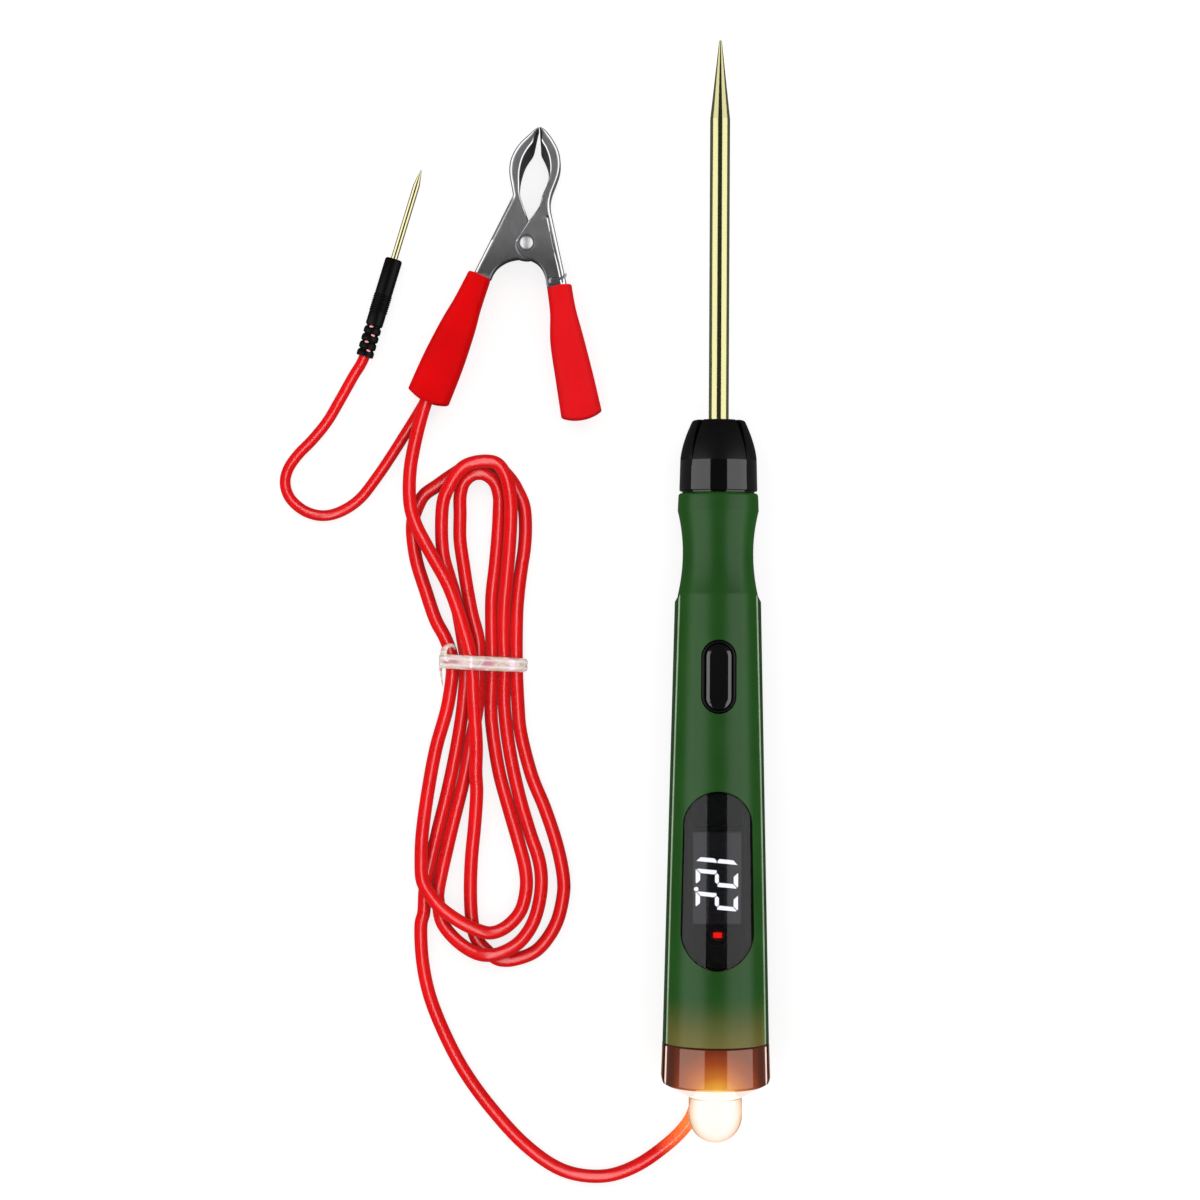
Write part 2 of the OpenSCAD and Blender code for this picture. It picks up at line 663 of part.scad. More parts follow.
// Soft sleeve: rounded oblong rings that widen towards the hand
function oblong(c, a, hw, hz) = [for (k = [0:mesh_fn - 1]) let (u = 360 * k / mesh_fn,
        x = hw * sign(cos(u)) * pow(abs(cos(u)), 0.6), z = hz * sign(sin(u)) * pow(abs(sin(u)), 0.6))
    [c[0] + x * right_of(a)[0], c[1] + x * right_of(a)[1], z]];
function sleeve_rings(root, a, sections, inset, past) = [for (i = [0:len(sections) - 1]) let (
        t = sections[i][0] + (i == 0 ? -past : i == len(sections) - 1 ? past : 0))
    oblong(at_handle(root, a, t, sections[i][1]), a, sections[i][2] - inset, clip_z - inset)];
module sleeve(root, a, sections) difference() {
    skin(sleeve_rings(root, a, sections, 0, 0));
    skin(sleeve_rings(root, a, sections, sleeve_wall, 0.5));
}
module sleeve_fixed() color(red) in_clip() sleeve(fixed_root, fixed_dir, fixed_sections);
module sleeve_moving() color(red) in_clip() sleeve(moving_root, moving_dir, moving_sections);

crimp_r = fixed_w / 2 - sheet - 0.5;
module wire_crimp() color(bright_steel) in_clip()
    translate(concat(at_handle(fixed_root, fixed_dir, 7, crimp_r - 0.72), [0])) rotate([-90, 0, fixed_dir])
        cylinder(r = crimp_r, h = handle_end + 0.05 - 7);

// Needle probe: stations from the lead's end of the relief
needle_x = -71.4;
needle_y = 46.7;
needle_turn = -16.6;
handle_s = relief_len;
handle_face = handle_s + handle_len;
needle_tip = handle_face + needle_len;
tang_r = needle_r - 0.23;     // the needle's thin end inside the handle
grip_s0 = handle_s + 2.95;
grip_pitch = 0.46;
module in_needle() { translate([needle_x, needle_y, grip_r]) rotate([0, 0, needle_turn]) children(); }

module needle_pin() color(brass) in_needle() {
    bar(branch_r, handle_s + 2, handle_s + 5);
    bar(tang_r, handle_s + 4.9, handle_face + 0.01);
    bar(needle_r, handle_face, needle_tip - needle_taper);
    turned([[0, needle_tip - needle_taper - 0.01], [needle_r, needle_tip - needle_taper - 0.01],
            [needle_r, needle_tip - needle_taper], [0.12, needle_tip], [0, needle_tip]]);
}
module needle_handle() color("#121212") in_needle() turned(concat(
    [[branch_r + fit, handle_s], [handle_r - 0.15, handle_s], [handle_r, handle_s + 0.3],
     [handle_r, grip_s0]],
    [for (i = [0:grip_rings - 1]) each [[grip_r, grip_s0 + grip_pitch * (i + 0.1)],
        [grip_r, grip_s0 + grip_pitch * (i + 0.55)], [grip_r - 0.12, grip_s0 + grip_pitch * (i + 0.8)]]],
    [[handle_r, grip_s0 + grip_pitch * grip_rings], [handle_r, handle_face - 0.4],
     [handle_r - 0.35, handle_face], [tang_r + 0.02, handle_face],
     [tang_r + 0.02, handle_s + 5.02], [branch_r + fit, handle_s + 5.02]]));
module needle_relief() color("#121212") in_needle() difference() {
    turned(concat([[branch_r + fit, 0]],
        [for (i = [0:3]) let (s = relief_len * i / 4, p = relief_len / 4) each [
            [1.62, s + 0.05], [1.72, s + p * 0.35], [1.66, s + p * 0.6],
            [1.36, s + p * 0.72], [1.36, s + p * 0.94]]],
        [[1.36, relief_len - 0.02], [branch_r + fit, relief_len - 0.02]]));
    for (i = [0:3]) rotate([0, 90 * (i % 2), 0]) translate([0, relief_len * (i + 0.8) / 4, 0])
        cube([1.1, 0.5, 6], center = true);
}

// Leads: free stretches as tubes, the tied hank as one solid
tail_route = [[-3.3, -95.65, 3.58], [-3.3, -102.7, 3.7], [-4, -105, 3.4], [-5.8, -108, 2.6],
    [-9, -111.5, 1.7], [-15.5, -116.5, 1.35], [-22.5, -118.8, 1.35], [-30.5, -117.5, 1.35],
    [-38, -112.5, 1.35], [-45, -105, 1.35], [-50.5, -97.5, 1.35], [-54.5, -90, 1.35],
    [-57.5, -82.5, 1.35], [-59, -75.5, 1.35], [-59.4, -68.5, 1.35], [-59, -64, 1.4]];
clip_route = [[-61.2, 15, 3.9], [-62.2, 19.5, 3.8], [-62.5, 24, 3.3], [-61.8, 28.5, 3.2],
    [-60.7, 32.5, 3.9], [-59.3, 36.5, 4.8], [-57.6, 40.5, 5.1], [-55.3, 46, 5.1], [-52.8, 51.8, 5.1]];
branch_route = [[-53.3, 51.2, 2.4], [-55.8, 45.2, 2.4], [-58.4, 39, 2.2], [-60.7, 35, 1.6],
    [-63.2, 31, 1.1], [-65.7, 27, 1.1], [-68.7, 22.5, 1.1], [-72.2, 18, 1.1], [-76, 15.4, 1.1],
    [-79.7, 14.5, 1.1], [-83.3, 15.4, 1.1], [-86.2, 17.8, 1.1], [-87.4, 20.8, 1.1], [-86.8, 23.8, 1.1],
    [-84.8, 26.8, 1.1], [-82, 29.7, 1.1], [-79, 33.4, 1.2], [-76.6, 37.4, 1.5], [-73.8, 42.4, 1.85]];
relief_in = [[-71.4, 46.7, 1.88], [-69.02, 54.68, 1.88]];
hank_outline = smooth([[-53.5, 24.8], [-46.8, 27.8], [-40, 23], [-37.2, 12], [-39, -7], [-39.4, -16],
    [-37.6, -28], [-29.8, -54], [-31.8, -70], [-41, -76.6], [-52, -72.5], [-59.8, -64],
    [-60.4, -53], [-56.4, -28], [-55.5, -16], [-57.4, -8],
    [-62.6, 9], [-62.2, 15], [-59, 20.8], [-53.5, 24.8]], 3);
tie_y = -15.2;
tie_x0 = -55.9;
tie_x1 = -39.1;
tie_z1 = 5.3;

// Rounded oblong standing across the hank
function round_box(x0, x1, z0, z1, r) =
    [for (c = [[x1 - r, z1 - r, 0], [x0 + r, z1 - r, 90], [x0 + r, z0 + r, 180], [x1 - r, z0 + r, 270]])
        for (a = [0:22.5:90]) [c[0] + r * cos(c[2] + a), c[1] + r * sin(c[2] + a)]];
module across(outline, y0, y1) {
    translate([0, y1, 0]) rotate([90, 0, 0]) linear_extrude(y1 - y0) polygon(outline);
}

module lead_tail() color(red) tube(smooth(tail_route, 2), lead_r);
module lead_clip() color(red) tube(smooth(clip_route, 2), lead_r);
module branch_lead() color(red) tube(concat(branch_route, relief_in), branch_r);
module lead_hank() color(red) difference() {
    linear_extrude(hank_h) polygon(hank_outline);
    difference() {
        translate([-70, tie_y - tie_w / 2 - 0.05, -over]) cube([50, tie_w + 0.1, hank_h + 2 * over]);
        across(round_box(tie_x0 + 0.05, tie_x1 - 0.05, tie_t + 0.05, tie_z1 - 0.05, 1.3),
            tie_y - tie_w, tie_y + tie_w);
    }
}
module twist_tie() color("#e8ebe6") {
    difference() {
        across(round_box(tie_x0 - tie_t, tie_x1 + tie_t, 0, tie_z1 + tie_t, 1.7),
            tie_y - tie_w / 2, tie_y + tie_w / 2);
        across(round_box(tie_x0, tie_x1, tie_t, tie_z1, 1.3), tie_y - tie_w, tie_y + tie_w);
    }
    translate([tie_x0 + 0.6, tie_y - tie_w / 2, tie_z1 + tie_t + 0.5])
        rotate([-90, 0, 0]) cylinder(r = 0.9, h = tie_w);
}

front_shell();
back_shell();
case_screws();
nose_collar();
probe_rod();
probe_socket();
circuit_board();
display_module();
display_digits();
display_window();
indicator_led();
button_bezel();
power_button();
tact_switch();
tact_plunger();
end_cap();
lamp_lens();
lamp_led();
cord_grommet();
board_wire();
clip_jaw_fixed();
clip_jaw_moving();
clip_rivet();
clip_spring();
sleeve_fixed();
sleeve_moving();
wire_crimp();
needle_pin();
needle_handle();
needle_relief();
lead_tail();
lead_hank();
lead_clip();
branch_lead();
twist_tie();
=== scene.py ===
# Looks of a pen type automotive circuit tester with a clip lead and a needle probe.
# Sizes are millimetres in each tool's own frame; makePiece turns them into metres once.
import math
import bmesh
import bpy
from mathutils import Matrix, Vector


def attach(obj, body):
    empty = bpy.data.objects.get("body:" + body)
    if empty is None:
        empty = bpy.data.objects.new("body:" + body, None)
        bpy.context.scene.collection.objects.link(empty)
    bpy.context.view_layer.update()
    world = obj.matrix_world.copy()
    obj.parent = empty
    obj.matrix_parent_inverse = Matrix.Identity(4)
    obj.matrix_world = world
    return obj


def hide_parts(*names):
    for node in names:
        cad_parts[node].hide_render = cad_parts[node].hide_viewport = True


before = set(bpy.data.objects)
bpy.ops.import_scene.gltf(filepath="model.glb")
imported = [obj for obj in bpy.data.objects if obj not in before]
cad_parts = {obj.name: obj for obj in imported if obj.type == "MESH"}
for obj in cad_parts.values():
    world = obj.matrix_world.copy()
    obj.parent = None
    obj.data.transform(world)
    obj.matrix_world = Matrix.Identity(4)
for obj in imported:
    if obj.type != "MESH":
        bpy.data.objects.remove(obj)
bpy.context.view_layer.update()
scene = bpy.context.scene
mm = 0.001

# places of the tools in the shared frame; the pen rests on its cap and its collar, so it tilts a little
penPlace = (Matrix.Translation((0, -0.098582025, 0.010253834))
            @ Matrix.Rotation(math.radians(-1.080450209513267), 4, "X"))
exitPlace = penPlace @ Matrix.Translation((-0.0033, 0, -0.0066232))
clipPlace = Matrix.Translation((-0.0387, 0.0693, 0.00385))
needlePlace = Matrix.Translation((-0.0714, 0.0467, 0.00188)) @ Matrix.Rotation(math.radians(-16.6), 4, "Z")
worldPlace = Matrix.Identity(4)
penBack, clipBack = penPlace.inverted(), clipPlace.inverted()

# camera: straight above, as in the photograph
photo = {"lens": 96.0, "sensor": 36.0, "at": (-23.55, -2.23, 648.3), "roll": 0.324}
cameraData = bpy.data.cameras.new("photoCamera")
cameraData.lens = photo["lens"]
cameraData.sensor_width = photo["sensor"]
cameraData.clip_start = 0.01
camera = bpy.data.objects.new("photoCamera", cameraData)
camera.location = tuple(v * mm for v in photo["at"])
camera.rotation_euler = (0, 0, math.radians(photo["roll"]))
scene.collection.objects.link(camera)
scene.camera = camera
scene.view_settings.view_transform = "Standard"
print("camera set")


# small tools for materials
def toLinear(hexText):
    values = [int(hexText[i:i + 2], 16) / 255 for i in (1, 3, 5)]
    return [v / 12.92 if v <= 0.04045 else ((v + 0.055) / 1.055) ** 2.4 for v in values] + [1.0]


def addNode(tree, kind, inputs=None, out=0, stops=None, **settings):
    # sets and links one node and gives back one of its outputs; stops are the places and colours of a ramp
    node = tree.nodes.new(kind)
    for name, value in settings.items():
        setattr(node, name, value)
    for socket, value in (inputs or {}).items():
        if isinstance(value, bpy.types.NodeSocket):
            tree.links.new(value, node.inputs[socket])
        else:
            node.inputs[socket].default_value = toLinear(value) if isinstance(value, str) else value
    if stops:
        elements = node.color_ramp.elements
        while len(elements) < len(stops):
            elements.new(0.5)
        for element, (at, color) in zip(elements, stops):
            element.position = at
            element.color = toLinear(color) if isinstance(color, str) else (color, color, color, 1)
    return node.outputs[out] if node.outputs else None


def startMaterial(name, color, roughness, **sockets):
    material = bpy.data.materials.new(name)
    material.use_nodes = True
    tree = material.node_tree
    tree.nodes.clear()
    inputs = {socket.replace("_", " "): value for socket, value in sockets.items()}
    inputs.update({"Base Color": color, "Roughness": roughness})
    surface = addNode(tree, "ShaderNodeBsdfPrincipled", inputs)
    addNode(tree, "ShaderNodeOutputMaterial", {"Surface": surface})
    addNode(tree, "ShaderNodeTexCoord")
    return material


def objectPlace(tree):
    return tree.nodes["Texture Coordinate"].outputs["Object"]


def feed(tree, socket, value):
    tree.links.new(value, tree.nodes["Principled BSDF"].inputs[socket])


def paintOver(tree, socket, where, color, blend="MIX"):
    # lays a colour over what the shader's socket has already, as far as where says
    target = tree.nodes["Principled BSDF"].inputs[socket]
    under = target.links[0].from_socket if target.links else tuple(target.default_value)
    feed(tree, socket, addNode(tree, "ShaderNodeMix", {0: where, 6: under, 7: color}, 2,
                               data_type="RGBA", blend_type=blend))


def grain(tree, sizeMm, detail=2.0, stretch=(1, 1, 1)):
    # noise with grains about sizeMm across
    place = addNode(tree, "ShaderNodeMapping", {"Vector": objectPlace(tree), "Scale": stretch})
    return addNode(tree, "ShaderNodeTexNoise",
                   {"Vector": place, "Scale": 1 / mm / sizeMm, "Detail": detail})


def evenGlow(tree, sizeMm, low, high):
    # colour or strength of a light from inside, nearly even over the piece
    return addNode(tree, "ShaderNodeValToRGB", {"Fac": grain(tree, sizeMm)},
                   stops=[(0.2, low), (0.8, high)])


def along(tree, axis, low, high, middle=None):
    # 0 at low and 1 at high, in millimetres along one Object axis or, with a middle, away from that plane
    value = addNode(tree, "ShaderNodeSeparateXYZ", {"Vector": objectPlace(tree)}, axis)
    if middle is not None:
        value = addNode(tree, "ShaderNodeMath", {0: value, 1: middle * mm}, operation="SUBTRACT")
        value = addNode(tree, "ShaderNodeMath", {0: value}, operation="ABSOLUTE")
    return addNode(tree, "ShaderNodeMapRange",
                   {"Value": value, "From Min": low * mm, "From Max": high * mm})


def around(tree, y, low, high, squeeze=1.0):
    # 0 at low and 1 at high, in millimetres from a place on the pen's middle line, seen from above
    off = addNode(tree, "ShaderNodeVectorMath", {0: objectPlace(tree), 1: (0, y * mm, 0)},
                  operation="SUBTRACT")
    flat = addNode(tree, "ShaderNodeVectorMath", {0: off, 1: (1 / mm, squeeze / mm, 0)},
                   operation="MULTIPLY")
    far = addNode(tree, "ShaderNodeVectorMath", {0: flat}, "Value", operation="LENGTH")
    return addNode(tree, "ShaderNodeMapRange", {"Value": far, "From Min": low, "From Max": high})


def roughen(tree, height, depthMm, strength):
    feed(tree, "Normal", addNode(tree, "ShaderNodeBump", {"Height": height, "Distance": depthMm * mm,
                                                          "Strength": strength}))


def varyRoughness(tree, factor, low, high):
    feed(tree, "Roughness", addNode(tree, "ShaderNodeMapRange",
                                    {"Value": factor, "To Min": low, "To Max": high}))


def plastic(name, color, dark, roughness, grainMm, depthMm, **sockets):
    # moulded plastic: shade and gloss that change slowly over it, and a fine grain
    material = startMaterial(name, dark, roughness, **sockets)
    tree = material.node_tree
    cloudy = grain(tree, 9.0, 3.0)
    patches = addNode(tree, "ShaderNodeValToRGB", {"Fac": cloudy}, stops=[(0.35, 0.0), (0.65, 1.0)])
    paintOver(tree, "Base Color", patches, color)
    varyRoughness(tree, cloudy, roughness * 0.88, roughness * 1.12)
    roughen(tree, grain(tree, grainMm), depthMm, 0.6)
    return material


def metal(name, color, roughness, grainMm, depthMm, stretch=(1, 1, 1)):
    # bare metal: a fine grain in its gloss and in its face
    material = startMaterial(name, color, roughness, Metallic=1.0)
    tree = material.node_tree
    fine = grain(tree, grainMm, 3.0, stretch)
    varyRoughness(tree, fine, roughness * 0.8, roughness * 1.25)
    roughen(tree, fine, depthMm, 0.5)
    return material


def glowing(name, color, roughness, strength, spotMm, low, high):
    material = startMaterial(name, color, roughness, Emission_Strength=strength)
    feed(material.node_tree, "Emission Color", evenGlow(material.node_tree, spotMm, low, high))
    return material


# moulded ABS, spark eroded satin: soft wide highlights and no mirror image; painted lamp glow turns it
# olive towards the lamp end
greenAbs = plastic("satinGreenAbs", "#144b09", "#114507", 0.36, 0.45, 0.006)
tree = greenAbs.node_tree
lampGlowPaint = addNode(tree, "ShaderNodeValToRGB", {"Fac": along(tree, "Y", -80.0, -92.0)})
lampGlowPaint.node.color_ramp.interpolation = "EASE"
paintOver(tree, "Base Color", lampGlowPaint, "#7a7232")
# the same ABS, lighter: a painted highlight line beside each rail
highlightLineAbs = plastic("paintedHighlightEdgeAbs", "#b4ccaa", "#a6c09c", 0.25, 0.6, 0.004)
# coarser spark texture on the rails, and a darker green on them that is painted shade
shadedRailAbs = plastic("coarseShadedRailAbs", "#143c0d", "#10330b", 0.5, 0.35, 0.012)

# polished ABS: a hard black gloss that mirrors the side lights
glossAbs = plastic("polishedBlackAbs", "#060606", "#040404", 0.06, 6.0, 0.002, IOR=1.74)
# the same ABS as moulded, a little softer than the polished band
mouldedAbs = plastic("mouldedBlackAbs", "#080808", "#050505", 0.42, 0.5, 0.004, Specular_IOR_Level=0.28)
# satin ABS of the button: dark with a soft rim light
buttonAbs = plastic("satinBlackAbs", "#060606", "#040404", 0.14, 0.5, 0.002, IOR=2.0)

# smoke tinted acrylic: glossy black, its lit parts show through
smokedAcrylic = startMaterial("smokedAcrylic", "#6f6f72", 0.02, Transmission_Weight=1.0, IOR=1.42)
tree = smokedAcrylic.node_tree
varyRoughness(tree, grain(tree, 9.0), 0.01, 0.03)

# smoked ABS with a painted glow of the lamp inside: amber, brightest near the lens and fading away from it
litAbs = startMaterial("backlitSmokeAbs", "#160705", 0.08, IOR=2.1, Specular_Tint=(1.0, 0.76, 0.6, 1.0),
                       Emission_Strength=1.0)
tree = litAbs.node_tree
feed(tree, "Emission Color", addNode(
    tree, "ShaderNodeValToRGB", {"Fac": around(tree, -100.6, 0.0, 12.0)},
    stops=[(0.0, "#ffe9a8"), (0.2, "#f6b040"), (0.4, "#cc742c"), (0.62, "#a04620"), (0.8, "#783018"),
           (1.0, "#682814")]))
# painted shade: the glow dims towards the cap's sides
sideShadePaint = addNode(tree, "ShaderNodeValToRGB", {"Fac": along(tree, "X", 0.0, 10.8, 0.0)},
                    stops=[(0.0, 1.0), (0.3, 0.95), (0.72, 0.85), (0.8, 0.45), (1.0, 0.22)])
paintOver(tree, "Emission Color", 1.0, sideShadePaint, "MULTIPLY")
paintOver(tree, "Emission Color", 1.0, evenGlow(tree, 3.0, 0.88, 1.0), "MULTIPLY")
# the painted glow falls to a dark line where the cap meets the barrel, and is brightest on the cone round
# the lens
paintOver(tree, "Emission Color", along(tree, "Y", -90.68, -90.5), "#301408")
paintOver(tree, "Emission Color", along(tree, "Y", -98.75, -98.95), "#ffe9de")
# painted glow on the cap's corner lines, nearly white
litEdgeAbs = glowing("backlitEdgeAbs", "#401812", 0.15, 1.0, 2.0, "#f6d4c6", "#ffe6dc")

# frosted polycarbonate over the lamp, with a painted glow: cream, peach towards its edge
frostedPc = startMaterial("frostedPolycarbonate", "#4a4036", 0.3, Emission_Strength=0.97)
tree = frostedPc.node_tree
feed(tree, "Emission Color", addNode(
    tree, "ShaderNodeValToRGB", {"Fac": around(tree, -103.6, 0.0, 6.0, 0.78)},
    stops=[(0.0, "#ffffff"), (0.6, "#fffdf6"), (0.73, "#fff2e0"), (0.79, "#ffdcc0"), (0.85, "#f4be98"),
           (0.882, "#a87858")]))
# painted shade: a thin brown line at the edge of the lens's foot, fading towards the middle
foot = addNode(tree, "ShaderNodeMath", {0: along(tree, "Y", 0.12, 0.04, -101.2),
                                        1: along(tree, "X", 1.0, 4.6, 0.0)}, operation="MULTIPLY")
paintOver(tree, "Emission Color", foot, "#a88468")
frost = addNode(tree, "ShaderNodeValToRGB", {"Fac": grain(tree, 1.6, 4.0)},
                stops=[(0.3, 0.0), (0.75, 0.25)])
paintOver(tree, "Emission Color", frost, "#fff0dc")

# soft PVC jackets of the leads: rubbery red with a waxy sheen; light scatters inside them, so the gaps
# between strands stay red
softJacket = {"Specular_IOR_Level": 0.75, "Subsurface_Weight": 0.85, "Subsurface_Radius": (1.0, 0.12, 0.12),
              "Subsurface_Scale": 2.0 * mm, "Emission_Color": "#000000", "Emission_Strength": 1.0}
leadPvc = plastic("redPvcJacket", "#dc060d", "#d2050b", 0.28, 1.1, 0.008, **softJacket)
tree = leadPvc.node_tree
# painted glow of the lamp: orange colour and glow on the lead near the lens
leadLampGlow = around(tree, -104.0, 15.0, 6.5)
paintOver(tree, "Base Color", leadLampGlow, "#ff7c3c")
paintOver(tree, "Emission Color", leadLampGlow, "#a04018")
branchPvc = plastic("thinRedPvcJacket", "#dc060d", "#d2050b", 0.28, 1.0, 0.008, **softJacket)
# painted highlight: a pale pink glow on the lead where it shows through the slots of the strain relief
paintOver(branchPvc.node_tree, "Emission Color", along(branchPvc.node_tree, "Y", 47.0, 47.3), "#f0a4ac")

# dipped soft PVC of the sleeves: dense red, blurred highlights; the right sleeve's copy is a lighter red,
# painted light
sleeveLeft = plastic("dippedRedPvc", "#f80409", "#ec0307", 0.5, 0.8, 0.01, Specular_IOR_Level=0.04)
sleeveRight = plastic("dippedRedPvcPaintedLight", "#ff121c", "#fa0f18", 0.5, 0.8, 0.01, Specular_IOR_Level=0.08)

# drawn brass rod, polished: pale yellow mirror with fine turning marks across
brassRod = metal("polishedBrass", "#dfdba2", 0.12, 0.5, 0.0015, (0.2, 1.0, 0.2))
# turned brass of the needle and of the rod's hidden socket
needleBrass = metal("turnedBrass", "#f0e8b8", 0.13, 0.4, 0.002, (0.2, 1.0, 0.2))

# stamped steel strip, tumbled: grey satin faces with a fine random grain, and a painted sheen that is
# lightest just past the rivet
stampedSteel = metal("stampedSteel", "#c4c4c6", 0.3, 0.5, 0.006, (1.0, 0.25, 1.0))
tree = stampedSteel.node_tree
arms = along(tree, "Y", 63.0, 83.0)
feed(tree, "Base Color", addNode(tree, "ShaderNodeValToRGB", {"Fac": arms},
                                 stops=[(0.1, "#bcbcbe"), (0.42, "#e6e6e8"), (1.0, "#d2d2d4")]))
satin = addNode(tree, "ShaderNodeMapRange", {"Value": arms, "To Min": 0.27, "To Max": 0.33})
tumbled = grain(tree, 0.5, 3.0, (1.0, 0.25, 1.0))
feed(tree, "Roughness", addNode(tree, "ShaderNodeMath", {0: tumbled, 1: 0.12, 2: satin},
                                operation="MULTIPLY_ADD"))
# painted shade: a darker, duller copy of the steel for the far plates, the plain stretches and the ring
# round the rivet's heads
shadowSteel = metal("paintedShadeSteel", "#8e8e90", 0.42, 0.6, 0.006)
# nickel plated steel: bright clean highlights; on the jaws' folds and bites it is a brighter copy of the
# strip's steel, partly polish and partly painted highlight
brightSteelAndHighlight = metal("platedSteelAndHighlight", "#ececee", 0.15, 0.3, 0.01)
# pressed steel of the rivet's heads: pale and matt
rivetSteel = metal("pressedRivetSteel", "#f6f6f8", 0.5, 0.3, 0.012)
# zinc plated screw steel: bluish grey satin
screwSteel = metal("zincPlatedSteel", "#b9bcc0", 0.26, 0.4, 0.004)

# soft black PVC of the needle's handle: dull, a little dusty
softBlackPvc = plastic("softBlackPvc", "#060606", "#030303", 0.42, 0.5, 0.01, Specular_IOR_Level=0.2)
# moulded rubber of the grommet: matt and greyer
rubberBlack = plastic("blackRubber", "#171717", "#101010", 0.5, 0.4, 0.01)

# clear film of the tie: thin and glossy, with streaks of pale colour in its colour and in a faint painted
# glow
clearFilm = startMaterial("clearFilm", "#f8f4ee", 0.16, Transmission_Weight=0.5, IOR=1.5,
                          Thin_Film_Thickness=480.0, Thin_Film_IOR=1.7, Emission_Strength=0.08)
tree = clearFilm.node_tree
streak = grain(tree, 1.3, 0.6, (0.35, 1.0, 0.6))
patches = addNode(tree, "ShaderNodeValToRGB", {"Fac": streak},
                  stops=[(0.32, "#d49aa0"), (0.42, "#e8ccc4"), (0.49, "#fbf6ee"), (0.56, "#d4cdae"),
                         (0.64, "#f2eae2"), (0.74, "#beb69e")])
# painted highlight: a bright line along the top of each lobe, by the millimetres from the middle of the
# band, which lies askew
across = addNode(tree, "ShaderNodeVectorMath", {0: objectPlace(tree), 1: (45.0, 1000.0, 0.0)}, "Value",
                 operation="DOT_PRODUCT")
across = addNode(tree, "ShaderNodeMath", {0: across, 1: 17.215}, operation="ADD")
across = addNode(tree, "ShaderNodeMath", {0: across}, operation="ABSOLUTE")
lobeTop = addNode(tree, "ShaderNodeMapRange", {"Value": across, "From Max": 1.45})
line = addNode(tree, "ShaderNodeValToRGB", {"Fac": lobeTop},
               stops=[(0.0, 0.1), (0.25, 0.1), (0.38, 0.85), (0.5, 0.7), (0.68, 0.05), (1.0, 0.0)])
for socket in ("Base Color", "Emission Color"):
    feed(tree, socket, patches)
    paintOver(tree, socket, line, "#ffffff")
roughen(tree, streak, 0.1, 0.4)

# glass fibre board with green solder mask: faint weave, threads 0.6 mm apart, under a semi gloss skin
boardMask = startMaterial("greenSolderMask", "#145436", 0.3)
tree = boardMask.node_tree
weave = addNode(tree, "ShaderNodeTexWave", {"Vector": objectPlace(tree), "Scale": 500.0, "Distortion": 1.0},
                "Fac")
paintOver(tree, "Base Color", weave, "#1b6b44")
roughen(tree, weave, 0.02, 0.4)

# black display body behind the window, with a faint painted glow on its face, brighter away from the middle
displayAbs = plastic("displayBlackAbs", "#0a0a0a", "#070707", 0.4, 0.5, 0.004, Emission_Color="#000000",
                     Emission_Strength=1.0)
tree = displayAbs.node_tree
panel = addNode(tree, "ShaderNodeMath", {0: along(tree, "X", 4.59, 4.57, -0.05),
                                         1: along(tree, "Y", 9.06, 9.04, -57.1)}, operation="MULTIPLY")
bright = addNode(tree, "ShaderNodeValToRGB", {"Fac": along(tree, "X", 1.5, 2.5, 0.0)},
                 stops=[(0.0, "#2e2e30"), (1.0, "#7f7f84")])
paintOver(tree, "Emission Color", panel, bright)

# lit segments: even white light, a little blue in places
litSegment = glowing("litSegment", "#ffffff", 0.4, 6.5, 1.5, "#f4f8ff", "#ffffff")
# epoxy of the indicator light: clear red
redLed = glowing("redLedEpoxy", "#ff1008", 0.2, 5.5, 1.0, "#ff1008", "#ff2010")
# painted glow: the red haze of that light in the acrylic round it
redHaze = startMaterial("redLitHaze", "#050505", 0.4, Emission_Strength=2.2)
tree = redHaze.node_tree
haze = addNode(tree, "ShaderNodeValToRGB", {"Fac": around(tree, -68.18, 0.0, 1.5, 1.35)},
               stops=[(0.0, "#ff1810"), (0.4, "#f01008"), (0.62, "#800402"), (1.0, "#000000")])
haze.node.color_ramp.interpolation = "EASE"
feed(tree, "Emission Color", haze)
# epoxy of the lamp: cream glow in its dome and none on its two wires
lampEpoxy = glowing("lampEpoxy", "#fff2d0", 0.15, 1.5, 1.0, "#fff0c8", "#fffbe8")
wires = along(lampEpoxy.node_tree, "Y", -92.5, -92.0)
paintOver(lampEpoxy.node_tree, "Emission Color", wires, "#000000")
paintOver(lampEpoxy.node_tree, "Base Color", wires, "#4a4640")
# moulded plastics of the switch, its plunger and the wire's skin: satin
switchNylon = plastic("switchNylon", "#262626", "#1e1e1e", 0.45, 0.4, 0.004)
plungerAcetal = plastic("acetal", "#d8c8a0", "#ccbc94", 0.4, 0.4, 0.004)
wirePvc = plastic("thinWirePvc", "#d01018", "#bc0c14", 0.35, 0.4, 0.004)
print("materials made:", len(bpy.data.materials))


# small tools for shapes
def spread(first, last, count):
    return [first + (last - first) * i / count for i in range(count + 1)]


def oval(halfX, halfY, sides, x=0.0, y=0.0):
    angles = [2 * math.pi * k / sides for k in range(sides)]
    return [(x + halfX * math.cos(a), y + halfY * math.sin(a)) for a in angles]


def catmull(points, steps, closed=False):
    points = [Vector(p) for p in points]
    last = len(points) - 1
    out = []
    for i in range(last + closed):
        a, b, c, d = (points[(i + k) % (last + 1) if closed else min(max(i + k, 0), last)]
                      for k in (-1, 0, 1, 2))
        for t in (k / steps for k in range(steps)):
            out.append(0.5 * (2 * b + (c - a) * t + (2 * a - 5 * b + 4 * c - d) * t * t
                              + (3 * b - 3 * c + d - a) * t ** 3))
    return out if closed else out + [points[-1]]


